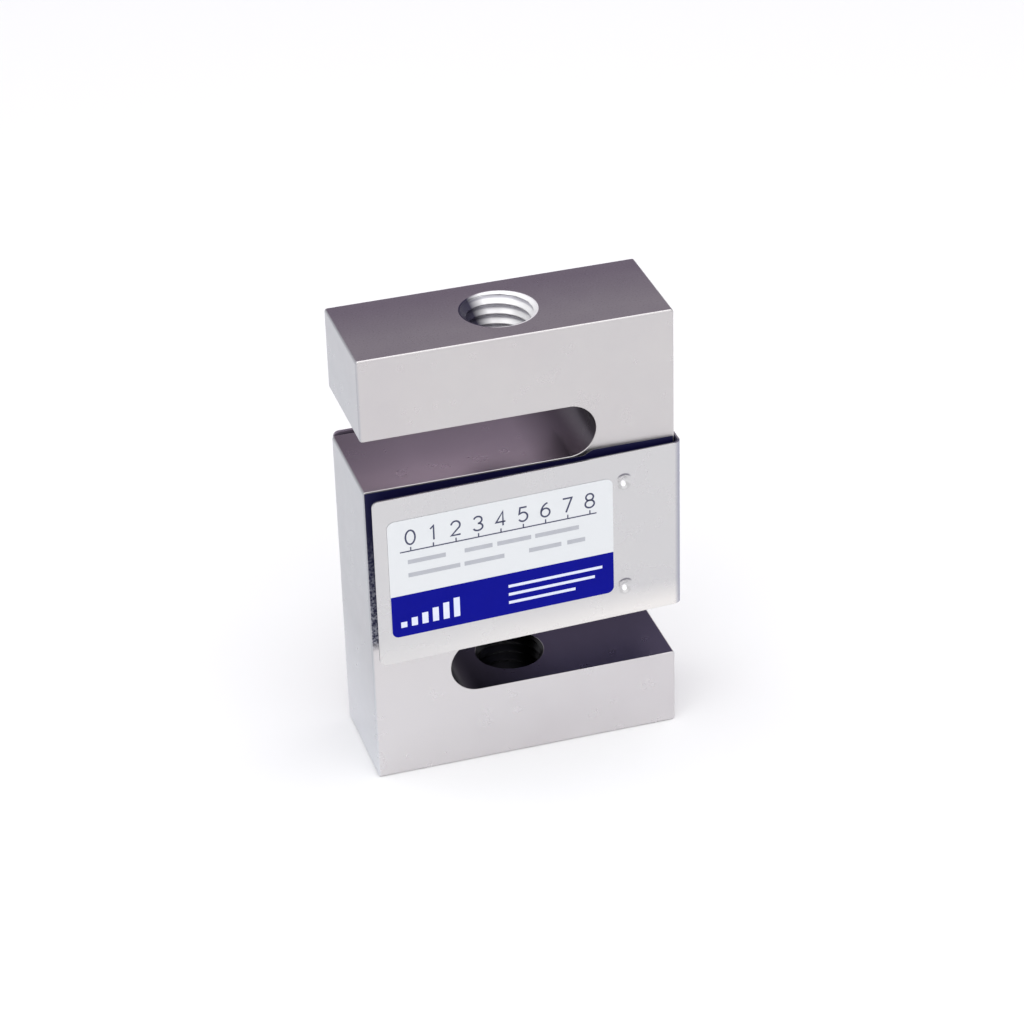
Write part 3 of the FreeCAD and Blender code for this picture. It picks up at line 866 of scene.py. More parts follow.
@dataclass
class SpringBody:
    """The S-shaped block, with a real screw thread in each arm. Millimetres."""

    lower_arm: float = 13.4
    lower_slot: float = 9.4
    upper_arm: float = 14.0
    upper_slot: float = 8.8
    slot_reach: float = 37.9
    edge: float = 0.36
    slot_edge: float = 0.14
    edge_fade: float = 0.6
    corner: float = 0.5
    pitch: float = 1.75
    thread_root: float = 6.02
    outer_mouth: float = 6.05
    inner_mouth: float = 5.7
    mouth_soft: float = 0.03
    lower_flank: Pair = (0.34, 0.32)
    upper_flank: Pair = (0.4, 0.57)
    patch: float = 7.5
    patch_steps: int = 24
    rows_per_pitch: int = 22
    pocket_radius: float = 11.0
    shear_web: float = 3.0
    lid_radius: float = 12.2
    lid_thickness: float = 0.5
    passage_radius: float = 3.6
    passage_bite: float = 1.0
    port_radius: float = 5.0
    port_depth: float = 8.4

    def __post_init__(self) -> None:
        """Read the block's own box."""
        low, high = node_span("spring_body")
        self.half_width = (high[0] - low[0]) / 2
        self.half_depth = (high[1] - low[1]) / 2
        self.height = high[2] - low[2]
        mounts = {mount["name"]: mount for mount in frame["record"]["mounts"]}
        self.thread_crest = mounts["upper_thread"]["dims"]["r_mm"]

    def outline(self) -> Outline:
        """The S as an outline with more stations where the holes are."""
        side, top = self.half_width, self.height
        tip = self.slot_reach - side
        low_floor, high_roof = self.lower_arm, top - self.upper_arm
        low_roof, high_floor = low_floor + self.lower_slot, high_roof - self.upper_slot
        corners = np.array([
            [-side, 0], [side, 0], [side, low_floor], [-tip, low_floor],
            [-tip, low_roof], [side, low_roof], [side, top], [-side, top],
            [-side, high_roof], [tip, high_roof], [tip, high_floor], [-side, high_floor],
        ])
        radii = np.full(len(corners), self.corner)
        radii[[3, 4]], radii[[9, 10]] = self.lower_slot / 2, self.upper_slot / 2
        rising = np.linspace(-self.patch, self.patch, self.patch_steps + 1)
        extra = {0: rising, 2: rising[::-1], 6: rising[::-1], 8: rising}
        return Outline(corners, radii, 5, extra)

    def section(self) -> tuple[Array, int]:
        """The section through the depth, and the number of its first row across the holes."""
        plain = rounded_section(-self.half_depth, self.half_depth, 5)
        rows = np.linspace(-self.patch, self.patch, self.patch_steps + 1)
        middle = len(plain) // 2
        across = np.stack([rows, np.zeros_like(rows), np.zeros_like(rows)], 1)
        return np.concatenate([plain[:middle], across, plain[middle:]]), middle

    def edges(self, points: Array) -> Array:
        """Edge radius at each station: crisp along the slots and softer elsewhere, with a
        straight change between the two."""
        height = points[:, 1]
        inside = np.zeros(len(points))
        for low, high in (
            (self.lower_arm, self.lower_arm + self.lower_slot),
            (self.height - self.upper_arm - self.upper_slot, self.height - self.upper_arm),
        ):
            past = np.minimum(height - low, high - height) + self.edge_fade
            inside = np.maximum(inside, np.clip(past / self.edge_fade, 0, 1))
        return self.edge + (self.slot_edge - self.edge) * inside

    def thread_radius(self, turn: Array, z: Array, outer: float, inner: float) -> Array:
        """Radius of the tapped wall.

        With p the fraction of a pitch at that angle, the wall is at the root up to 0.02, runs
        straight to the crest at 0.34, stays there up to 0.4, and runs straight back to the root
        at 0.97, so the flank that faces up is the wider one. lower_flank is where the first run
        ends and its length, and upper_flank is where the second starts and its length. A cone
        at each mouth is wider where it meets the thread.

        Args:
            turn: angles round the axis.
            z: heights.
            outer: height of the outer face.
            inner: height of the slot's face.

        Returns:
            Radii in millimetres.
        """
        phase = np.mod(z / self.pitch - turn / (2 * np.pi), 1.0)
        (low_end, low_run), (high_start, high_run) = self.lower_flank, self.upper_flank
        away = np.maximum((phase - high_start) / high_run, (low_end - phase) / low_run)
        wall = self.thread_crest + (self.thread_root - self.thread_crest) * np.clip(away, 0, 1)
        cone = np.maximum(
            self.outer_mouth - np.abs(z - outer), self.inner_mouth - np.abs(z - inner)
        )
        return np.maximum(wall, cone)

    def sleeve(self, outer: float, inner: float) -> Array:
        """Rings of points down the tapped wall, from the outer face to the slot's face."""
        count = self.patch_steps * 4
        turn = np.radians(-135) + np.arange(count) * 2 * np.pi / count
        rows = int(abs(outer - inner) / self.pitch * self.rows_per_pitch)
        z = np.linspace(outer, inner, rows + 1)
        radius = self.thread_radius(turn[None], z[:, None], outer, inner)
        radius[0] = self.outer_mouth + self.mouth_soft
        radius[-1] = self.inner_mouth + self.mouth_soft
        z[1], z[-2] = z[0] + (z[1] - z[0]) * 0.7, z[-1] - (z[-1] - z[-2]) * 0.7
        x, y = radius * np.cos(turn), radius * np.sin(turn)
        return np.stack([x, y, np.broadcast_to(z[:, None], x.shape)], axis=-1)

    def build(self) -> Piece:
        """Carry the S through its depth, open a round hole in four faces, join them by sleeves.

        A square patch of the grid round each hole is left out. Its border, step i, joins the
        sleeve's ring at step i where the run goes towards +X, and at a quarter turn less i
        where it goes towards -X.

        Returns:
            The piece.
        """
        outline = self.outline()
        points, normals = outline.stations()
        section, first_row = self.section()
        vertices, faces = prism(points, normals, section, self.edges(points))
        columns, steps = len(points), self.patch_steps
        quads = np.array(faces[:-2])
        keep = np.ones(len(quads), bool)
        row, column = quads[:, 0] // columns, quads[:, 0] % columns
        parts, first = [vertices], len(vertices)
        faces_out = []
        along = np.arange(steps)
        for outer_run, inner_run in ((0, 2), (6, 8)):
            outer, inner = (outline.corners[run][1] for run in (outer_run, inner_run))
            rings = self.sleeve(outer, inner)
            count = rings.shape[1]
            faces_out.append(grid_quads(rings.shape[0], count, True, first))
            for run, ring in ((outer_run, 0), (inner_run, rings.shape[0] - 1)):
                left = outline.first_extra[run]
                inside = (row >= first_row) & (row < first_row + steps)
                keep &= ~(inside & (column >= left) & (column < left + steps))
                border = np.concatenate([
                    first_row * columns + left + along,
                    (first_row + along) * columns + left + steps,
                    (first_row + steps) * columns + left + steps - along,
                    (first_row + steps - along) * columns + left,
                ])
                step = np.arange(count)
                towards_plus = run in (0, 8)
                match = first + ring * count + (step if towards_plus else (steps - step) % count)
                faces_out.append(np.stack(
                    [border, np.roll(border, -1), np.roll(match, -1), match], axis=-1
                ))
            parts.append(rings.reshape(-1, 3))
            first += rings.shape[0] * count
        everything = quads[keep].tolist() + faces[-2:] + np.concatenate(faces_out).tolist()
        piece = new_piece("spring_body_surface", np.concatenate(parts), everything)
        cut_away(piece, self.cutters())
        weigh_normals(piece)
        return piece

    def cutters(self) -> list[Shape]:
        """The gauge pockets, the lid seats, the inlet port and the wire passage."""
        middle, past = self.height / 2, 1.0
        shapes = []
        for side in Side:
            face = side.value * self.half_depth
            for radius, floor in (
                (self.pocket_radius, side.value * self.shear_web / 2),
                (self.lid_radius, face - side.value * self.lid_thickness),
            ):
                start = np.array([0, face + side.value * past, middle])
                shapes.append(cylinder(start, np.array([0, floor, middle]), radius))
        port_floor = self.half_width - self.port_depth
        inner_end = self.pocket_radius - self.passage_bite
        shapes.append(cylinder(
            np.array([self.half_width + past, 0, middle]), np.array([port_floor, 0, middle]),
            self.port_radius,
        ))
        shapes.append(cylinder(
            np.array([port_floor + past, 0, middle]), np.array([inner_end, 0, middle]),
            self.passage_radius,
        ))
        return shapes

    def dress(self, piece: Piece) -> list[Piece]:
        """Finish the block."""
        return [settle(piece, Finishes.BODY, "nickel_plated_steel", "spring_body")]


# ------------------------------------------------------------------ cover


@dataclass
class WrapCover:
    """The folded sheet: front panel, fold, side, fold, rear panel. Millimetres.

    The front panel springs away from the block towards its free edge. The rear panel is
    parallel to the block.
    """

    sheet: float = 0.6
    bend: float = 1.4
    edge: float = 0.07
    free_corner: float = 1.0
    dimple_pitch: float = 19.3
    dimple_inset: float = 9.75
    dish_radius: float = 2.9
    dish_depth: float = 0.26
    pit_radius: float = 1.5
    pit_depth: float = 0.5
    # Size and place of the painted highlight and the ring of painted shade at each dimple.
    spot_radius: float = 0.52
    ring_radius: float = 1.35
    ring_width: float = 0.55
    spot_drop: float = 0.45
    ring_fade: float = 2.8
    ring_share: float = 0.6
    close_stations: int = 60
    inlet_hole: float = 6.2

    def __post_init__(self) -> None:
        """Read the cover's own box, in which the rear panel's face is as deep as the fold."""
        self.low, self.high = node_span("wrap_cover")
        self.middle = (self.low[2] + self.high[2]) / 2
        self.half_height = (self.high[2] - self.low[2]) / 2
        self.bend_x = self.high[0] - self.bend
        self.bend_y = self.high[1] - self.bend
        self.slant = math.atan2(-self.low[1] - self.high[1], self.bend_x - self.low[0])

    def panel_end(self, side: Side) -> tuple[Array, Array, Array]:
        """Where a panel's outer face meets its fold.

        With a the panel's slant and s the sign of its side, the normal is (sin a, s cos a), the
        way towards the fold is (cos a, -s sin a), and the end is the fold's centre plus its
        radius along the normal.

        Args:
            side: front or rear.

        Returns:
            The end (x, y), the outward normal and the way towards the fold.
        """
        slant = self.slant if side is Side.FRONT else 0.0
        sign = side.value
        normal = np.array([math.sin(slant), sign * math.cos(slant)])
        way = np.array([math.cos(slant), -sign * math.sin(slant)])
        return np.array([self.bend_x, sign * self.bend_y]) + self.bend * normal, normal, way

    @property
    def dimple_reach(self) -> float:
        """How far the close stations go from a dimple's middle."""
        return self.dish_radius * 1.15

    def panel_stations(self, length: float) -> Array:
        """Distances of a panel's stations from its free edge: close at the round corners and
        at the dimples."""
        dimple = self.high[0] - self.dimple_inset - self.low[0]
        reach = self.dimple_reach
        turn = arc_steps(0, 90, 4)
        rounding = self.edge * (1 - np.cos(turn))
        corner = np.linspace(self.edge, self.free_corner, 9)[1:]
        return np.concatenate([
            rounding, corner,
            np.linspace(self.free_corner, dimple - reach, 10)[1:],
            np.linspace(dimple - reach, dimple + reach, self.close_stations + 1)[1:],
            np.linspace(dimple + reach, length, 5)[1:],
        ])

    def half_path(self, side: Side) -> tuple[Array, Array, Array]:
        """One panel and its fold in plan, from the free edge on.

        Returns:
            Points (x, y), outward normals, and distances from the free edge.
        """
        end, normal, way = self.panel_end(side)
        length = (end[0] - self.low[0]) / way[0]
        gone = self.panel_stations(length)
        panel = end - way * (length - gone)[:, None]
        start = math.degrees(math.atan2(normal[1], normal[0]))
        turn = arc_steps(start, 0, 9)[1:-1]
        spokes = np.stack([np.cos(turn), np.sin(turn)], 1)
        centre = np.array([self.bend_x, side.value * self.bend_y])
        return (
            np.concatenate([panel, centre + self.bend * spokes]),
            np.concatenate([np.tile(normal, (len(panel), 1)), spokes]),
            np.concatenate([gone, np.full(len(spokes), FAR_MM)]),
        )

    def path(self) -> tuple[Array, Array, Array]:
        """The outer face's plan, from one free edge round to the other.

        Returns:
            Points (x, y), outward normals, and distances from the nearer free edge.
        """
        front, rear = self.half_path(Side.FRONT), self.half_path(Side.REAR)
        side_y = np.linspace(-self.bend_y, self.bend_y, 15)
        side = (
            np.stack([np.full_like(side_y, self.high[0]), side_y], 1),
            np.tile([1.0, 0.0], (len(side_y), 1)),
            np.full(len(side_y), FAR_MM),
        )
        return tuple(np.concatenate([a, b, c[::-1]]) for a, b, c in zip(front, side, rear))

    def lay_on_front(self, piece: Piece) -> Piece:
        """Carry a flat piece, whose back is at Y = 0, onto the front panel's outer face.

        With a the slant and E the panel's end, a point moves to X - Y sin a,
        E.y + (X - E.x) tan a + Y cos a, and keeps its Z.
        """
        end, normal, _ = self.panel_end(Side.FRONT)
        rise = math.tan(self.slant)
        piece.data.transform(Matrix((
            (1, -normal[0], 0, 0),
            (rise, -normal[1], 0, (end[1] - rise * end[0]) * MM),
            (0, 0, 1, 0),
            (0, 0, 0, 1),
        )))
        piece.data.update()
        return piece

    def profile(self) -> tuple[Array, Array]:
        """The sheet's cut section: a tall thin rectangle with round edges.

        Returns:
            Distances inwards from the outer face, and heights from the middle.
        """
        reach, half = self.dimple_reach, self.dimple_pitch / 2
        top = self.half_height - self.edge
        upper = np.concatenate([
            np.linspace(0, half - reach, 5)[:-1],
            np.linspace(half - reach, half + reach, self.close_stations),
            np.linspace(half + reach, top, 4)[1:],
        ])
        heights = np.concatenate([-upper[:0:-1], upper])
        turn = arc_steps(0, 90, 4)[1:]
        rise, run = np.sin(turn) * self.edge, (1 - np.cos(turn)) * self.edge
        depth = np.concatenate([
            np.zeros_like(heights), run, self.sheet - run[::-1],
            np.full_like(heights, self.sheet), self.sheet - run, run[::-1],
        ])
        height = np.concatenate([
            heights, top + rise, top + rise[::-1], heights[::-1], -top - rise, -top - rise[::-1],
        ])
        return depth, height

    def dimple(self, x: Array, z: Array) -> Array:
        """How far the sheet is pressed in: a broad shallow dish with a small pit in its middle.

        With q the distance from the middle as a share of a radius, each of the two is its depth
        times (1 + cos(pi q)) / 2, and nothing past q = 1.
        """
        centre_x = self.high[0] - self.dimple_inset
        pressed = np.zeros(np.broadcast(x, z).shape)
        for sign in (-1, 1):
            away = np.hypot(x - centre_x, z - self.middle - sign * self.dimple_pitch / 2)
            for radius, depth in (
                (self.dish_radius, self.dish_depth), (self.pit_radius, self.pit_depth),
            ):
                pressed += depth * (1 + np.cos(np.pi * np.clip(away / radius, 0, 1))) / 2
        return pressed

    def paint_dimple_light(self, x: Array, z: Array) -> tuple[Array, Array]:
        """Painted highlight and painted shade in and round a dimple.

        A painted highlight a little below the middle falls off as exp(-(d / r)^2). A ring of
        painted shade round the pit falls off in the same way and fades towards its lower side.
        """
        centre_x = self.high[0] - self.dimple_inset
        spot, ring = np.zeros(x.shape), np.zeros(x.shape)
        for sign in (-1, 1):
            across, up = x - centre_x, z - self.middle - sign * self.dimple_pitch / 2
            near = np.exp(-(across**2 + (up + self.spot_drop) ** 2) / self.spot_radius**2)
            round_pit = np.exp(-((np.hypot(across, up) - self.ring_radius) / self.ring_width) ** 2)
            upper = np.clip(0.5 + up / self.ring_fade, 0, 1)
            spot += near
            ring += round_pit * upper * (1 - near) * self.ring_share
        return spot, ring

    def build(self) -> Piece:
        """Carry the section along the plan.

        Near a free edge, at distance s, the half height loses R - sqrt(R^2 - (R - s)^2) for
        the round corner of radius R, and the section shrinks all round for the edge's own
        radius. The dimples press both faces along the panel's normal.

        Returns:
            The piece.
        """
        points, normals, gone = self.path()
        depth, height = self.profile()
        into = np.clip(self.free_corner - gone, 0, self.free_corner)
        corner_loss = self.free_corner - np.sqrt(self.free_corner**2 - into**2)
        into_edge = np.clip(self.edge - gone, 0, self.edge)
        inset = self.edge - np.sqrt(self.edge**2 - into_edge**2)
        half_sheet = self.sheet / 2
        squeeze = (half_sheet - inset) / half_sheet
        inwards = half_sheet + (depth[None] - half_sheet) * squeeze[:, None]
        scale = (self.half_height - corner_loss - inset) / self.half_height
        z = self.middle + height[None] * scale[:, None]
        x = np.broadcast_to(points[:, :1], z.shape)
        on_panel = np.abs(normals[:, 1:]) > 0.998
        inwards = inwards + self.dimple(x, z) * on_panel
        spots = points[:, None] - normals[:, None] * inwards[..., None]
        vertices = np.stack([spots[..., 0], spots[..., 1], z], axis=-1)
        rows, columns = z.shape
        faces = grid_quads(rows, columns).tolist()
        faces.append(list(range(columns)))
        faces.append(list(range((rows - 1) * columns, rows * columns)))
        # The inner face, which carries the cover's painted shade.
        inner = np.broadcast_to(depth > self.sheet - self.edge * 1.1, z.shape).astype(float)
        # Painted highlight and painted shade at the dimples of the front panel.
        spot, ring = self.paint_dimple_light(x, z)
        on_front = on_panel * (normals[:, 1:] < 0)
        marks = {"inner_face": inner, "painted_dimple_highlight": spot * on_front, "painted_dimple_shade": ring * on_front}
        piece = new_piece("wrap_cover_sheet", vertices.reshape(-1, 3), faces, marks=marks)
        axis_z = (node_span("inlet_bushing")[0][2] + node_span("inlet_bushing")[1][2]) / 2
        start = np.array([self.high[0] + 1, 0, axis_z])
        end = np.array([self.high[0] - self.sheet - 1, 0, axis_z])
        cut_away(piece, [cylinder(start, end, self.inlet_hole)])
        weigh_normals(piece)
        return piece

    def dress(self, piece: Piece) -> list[Piece]:
        """Finish the cover."""
        return [settle(piece, Finishes.COVER, "cover_sheet_steel", "wrap_cover")]


# ------------------------------------------------------------------ label


@dataclass
class RatingLabel:
    """The label: white film, a deep blue band, and plain printed shapes. Millimetres.

    Each piece is made flat, with its back at Y = 0, and then laid on the cover's front panel.
    """

    cover: WrapCover
    thickness: float = 0.15
    corner: float = 1.15
    ink: float = 0.02
    hem: float = 0.04
    band_height: float = 7.55
    rule_drop: float = 5.62
    rule_width: float = 0.2
    stroke: float = 0.28
    figure_height: float = 2.5
    figure_pitch: float = 3.7
    figure_lift: float = 1.2
    figure_half: float = 0.31

    def __post_init__(self) -> None:
        """Read the label's own box."""
        self.low, self.high = node_span("rating_label")
        self.face = -self.thickness

    def plate(self, name: str, corners: Array, radii: list[float], back: float, front: float,
              edge: float) -> Piece:
        """A thin plate with rounded corners and edges."""
        points, normals = Outline(corners, np.array(radii, float), 8).stations()
        vertices, faces = prism(points, normals, rounded_section(front, back, 3), edge)
        piece = new_piece(name, vertices, faces)
        weigh_normals(piece, 60)
        return piece

    def ribbons(self, name: str, paths: list[Array], width: float,
                face: float | None = None) -> Piece:
        """Thin strips of ink: a flat section carried along each path.

        At each point the strip spreads half its width to both sides, along the mean of the
        normals of the two stretches that meet there.

        Args:
            name: the piece's name.
            paths: runs of points (x, z).
            width: the strip's width.
            face: the strips' back, or none for the film's face.

        Returns:
            One piece that holds every strip.
        """
        parts = []
        face = self.face if face is None else face
        for path in paths:
            step = np.diff(path, axis=0)
            step = step / np.linalg.norm(step, axis=1, keepdims=True)
            ahead = np.concatenate([step, step[-1:]])
            behind = np.concatenate([step[:1], step])
            way = ahead + behind
            way = way / np.linalg.norm(way, axis=1, keepdims=True)
            stretch = 1 / np.maximum((way * ahead).sum(1, keepdims=True), 0.5)
            across = np.stack([-way[:, 1], way[:, 0]], 1) * width / 2 * stretch
            left, right = path + across, path - across
            rows = len(path)
            front = np.full(rows, face - self.ink)
            back = np.full(rows, face)
            vertices = np.stack([
                np.stack([left[:, 0], front, left[:, 1]], 1),
                np.stack([right[:, 0], front, right[:, 1]], 1),
                np.stack([right[:, 0], back, right[:, 1]], 1),
                np.stack([left[:, 0], back, left[:, 1]], 1),
            ], axis=1).reshape(-1, 3)
            faces = grid_quads(rows, 4).tolist()
            last = (rows - 1) * 4
            faces += [[0, 1, 2, 3], [last, last + 1, last + 2, last + 3]]
            parts.append((vertices, faces))
        vertices, faces = join_parts(parts)
        return new_piece(name, vertices, faces, smooth=False)

    @staticmethod
    def bow(centre_x: float, centre_z: float, radius_x: float, radius_z: float, start: float,
            end: float, steps: int = 20) -> Array:
        """An arc of an ellipse in shares of a figure's width and height, from start to end
        degrees."""
        turn = arc_steps(start, end, steps)
        return np.stack([centre_x + radius_x * np.cos(turn), centre_z + radius_z * np.sin(turn)], 1)

    def figures(self) -> dict[int, list[Array]]:
        """The strokes of the figures 0 to 8, in a box one high and 0.62 wide."""
        bow = self.bow
        return {
            0: [bow(0.31, 0.5, 0.31, 0.5, 0, 360, 40)],
            1: [np.array([[0.14, 0.8], [0.36, 1.0], [0.36, 0.0]])],
            2: [np.concatenate([bow(0.31, 0.7, 0.29, 0.3, 170, -35), [[0.02, 0.0], [0.62, 0.0]]])],
            3: [bow(0.29, 0.75, 0.27, 0.25, 160, -90), bow(0.29, 0.25, 0.31, 0.25, 90, -160)],
            4: [np.array([[0.46, 0.0], [0.46, 1.0], [0.0, 0.28], [0.62, 0.28]])],
            5: [np.concatenate([[[0.56, 1.0], [0.12, 1.0], [0.06, 0.56]],
                                bow(0.3, 0.32, 0.3, 0.32, 110, -150)])],
            6: [bow(0.31, 0.3, 0.29, 0.3, 0, 360, 36),
                np.concatenate([bow(0.62, 0.32, 0.6, 0.68, 175, 105)])],
            7: [np.array([[0.0, 1.0], [0.6, 1.0], [0.2, 0.0]])],
            8: [bow(0.31, 0.76, 0.25, 0.24, -90, 270, 36),
                bow(0.31, 0.27, 0.3, 0.27, -90, 270, 36)],
        }

    def build(self) -> dict[str, Piece]:
        """Make the film and every printed shape."""
        left, right = self.low[0], self.high[0]
        bottom, top = self.low[2], self.high[2]
        rule_z = top - self.rule_drop
        corner = self.corner
        film = self.plate(
            "label_film", rectangle(left, right, bottom, top), [corner] * 4,
            0.0, self.face, 0.05,
        )
        hem = self.hem
        band = self.plate(
            "label_band",
            rectangle(left + hem, right - hem, bottom + hem, bottom + self.band_height),
            [corner - hem, corner - hem, 0.02, 0.02], self.face, self.face - self.ink, 0.008,
        )
        start = left + 2.9
        strokes, ticks = [], []
        for number, shape in self.figures().items():
            spot = np.array([start + number * self.figure_pitch, rule_z + self.figure_lift])
            strokes += [spot + path * self.figure_height for path in shape]
            x = spot[0] + self.figure_half * self.figure_height
            ticks.append(np.array([[x, rule_z], [x, rule_z + 0.7]]))
        rule = np.array([[left + 1.9, rule_z], [right - 2.8, rule_z]])
        scale = self.ribbons("label_scale", strokes, self.stroke)
        rule_piece = self.ribbons("label_rule", [rule] + ticks, self.rule_width)
        pieces = {
            "film": film, "band": band, "scale": scale, "rule": rule_piece,
            "lines": self.text_bars(left, rule_z), "marks": self.band_marks(left, bottom),
        }
        return {name: self.cover.lay_on_front(piece) for name, piece in pieces.items()}

    def text_bars(self, left: float, rule_z: float) -> Piece:
        """Two rows of plain grey bars under the rule."""
        rows = {
            -1.95: ((3.1, 9.3), (12.4, 17.0), (17.8, 23.4), (24.1, 31.4)),
            -4.35: ((3.1, 11.6), (12.3, 18.9), (23.0, 28.4), (29.4, 32.4)),
        }
        paths = [
            np.array([[left + first, rule_z + drop], [left + last, rule_z + drop]])
            for drop, bars in rows.items()
            for first, last in bars
        ]
        return self.ribbons("label_bars", paths, 0.75)

    def band_marks(self, left: float, bottom: float) -> Piece:
        """Rising pale bars and three thin pale lines on the blue band."""
        face = self.face - self.ink
        rising = [
            np.array([[left + 2.0 + 1.75 * step, bottom + 1.7],
                      [left + 2.0 + 1.75 * step, bottom + 2.7 + 0.5 * step]])
            for step in range(6)
        ]
        bold = self.ribbons("label_steps", rising, 1.0, face)
        thin = self.ribbons(
            "label_hairlines",
            [np.array([[left + 19.4, bottom + up], [left + end, bottom + up]])
             for up, end in ((5.2, 35.2), (3.7, 33.9), (2.2, 30.6))],
            0.5, face,
        )
        return self.merge(bold, thin, "label_marks")

    @staticmethod
    def merge(first: Piece, second: Piece, name: str) -> Piece:
        """Put two pieces in one."""
        shape = bmesh.new()
        shape.from_mesh(first.data)
        shape.from_mesh(second.data)
        shape.to_mesh(first.data)
        shape.free()
        bpy.data.objects.remove(second)
        first.name = first.data.name = name
        return first

    def dress(self, pieces: dict[str, Piece]) -> list[Piece]:
        """Finish the film and the inks."""
        inks = {
            "band": Finishes.BAND, "scale": Finishes.SCALE_INK, "rule": Finishes.SCALE_INK,
            "lines": Finishes.GREY_INK, "marks": Finishes.WHITE_INK,
        }
        settle(pieces["film"], Finishes.FILM, "printed_label", "rating_label")
        for name, finish in inks.items():
            settle(pieces[name], finish, "printed_label")
        return list(pieces.values())


# ------------------------------------------------------------------ cable inlet


@dataclass
class CableInlet:
    """The plated bushing and the rubber grommet in the block's side. Millimetres."""

    bushing_bore: float = 3.4
    port_radius: float = 5.0
    flange_thickness: float = 0.5
    spanner_hole: float = 0.55
    grommet_bore: float = 2.6
    flare: float = 0.4
    recess: float = 1.2
    membrane: float = 0.8
    soft: float = 0.12

    def __post_init__(self) -> None:
        """Read the bushing's own box."""
        self.low, self.high = node_span("inlet_bushing")
        self.axis_z = (self.low[2] + self.high[2]) / 2
        self.flange_radius = (self.high[2] - self.low[2]) / 2

    def build(self) -> dict[str, Piece]:
        """Turn both profiles about the inlet's axis and drill the bushing's spanner holes."""
        inner, face, soft = self.low[0], self.high[0], self.soft
        seat = face - self.flange_thickness
        bushing_profile = np.array([
            [inner, self.bushing_bore], [face - soft, self.bushing_bore],
            [face, self.bushing_bore + soft], [face, self.flange_radius - soft],
            [face - soft * 0.3, self.flange_radius - soft * 0.3],
            [face - soft, self.flange_radius], [seat, self.flange_radius],
            [seat, self.port_radius], [inner + soft, self.port_radius],
            [inner, self.port_radius - soft],
        ])
        bushing = new_piece("inlet_bushing_turned", *lathe(*bushing_profile.T, self.axis_z))
        ring = (self.bushing_bore + self.flange_radius) / 2
        holes = [
            cylinder(np.array([face + 1, ring * sign, self.axis_z]),
                     np.array([face - 1.5, ring * sign, self.axis_z]), self.spanner_hole, 32)
            for sign in (-1, 1)
        ]
        cut_away(bushing, holes)
        weigh_normals(bushing, 35)

        outside = face - self.recess
        inside = outside - self.membrane
        turn = arc_steps(0, 90, 6)
        lip_x = face - self.flare + self.flare * np.sin(turn)
        lip_r = self.grommet_bore + self.flare * (1 - np.cos(turn))
        dish_r = np.linspace(0.0, self.grommet_bore, 12)
        dish = 0.25 * (1 - (dish_r / self.grommet_bore) ** 2)
        profile = np.concatenate([
            np.stack([outside - dish, dish_r], 1),
            np.stack([lip_x, lip_r], 1),
            [[face, self.bushing_bore], [inner, self.bushing_bore], [inner, self.grommet_bore],
             [inside, self.grommet_bore], [inside - 0.1, 0.0]],
        ])
        grommet = new_piece("inlet_grommet_moulded", *lathe(*profile.T, self.axis_z))
        weigh_normals(grommet, 40)
        return {"bushing": bushing, "grommet": grommet}

    def dress(self, pieces: dict[str, Piece]) -> list[Piece]:
        """Finish the inlet."""
        settle(pieces["bushing"], Finishes.BUSHING, "plated_brass", "inlet_bushing")
        settle(pieces["grommet"], Finishes.GROMMET, "black_rubber", "inlet_grommet")
        return list(pieces.values())


# ------------------------------------------------------------------ hidden parts


class Inside:
    """The parts that the cover and the block hide. Their solids stay and get a finish."""

    FINISHES = {
        "gauge_film": Finishes.FILM_AMBER,
        "gauge_grid": Finishes.FOIL,
        "terminal_strip": Finishes.LAMINATE,
        "terminal_tabs": Finishes.TIN,
        "potting": Finishes.POTTING,
        "pocket_lid": Finishes.LID,
        "sealant_pad": Finishes.SEALANT,
        "board_pins": Finishes.TIN,
        "compensation_board": Finishes.BOARD,
        "trim_resistors": Finishes.CHIP,
        "inlet_washer": Finishes.BRASS,
        "red_bridge_wire": insulation("red", 190, 30, 28),
        "black_bridge_wire": insulation("black", 34, 34, 36),
        "green_bridge_wire": insulation("green", 30, 130, 60),
        "white_bridge_wire": insulation("white", 228, 228, 222),
    }

    def dress(self) -> list[Piece]:
        """Give each hidden node its finish.

        Returns:
            The nodes.
        """
        done = []
        for name, node in frame["nodes"].items():
            for ending, finish in self.FINISHES.items():
                if name.endswith(ending):
                    node.data.materials.clear()
                    node.data.materials.append(finish.paint())
                    done.append(node)
        return done


# ------------------------------------------------------------------ studio


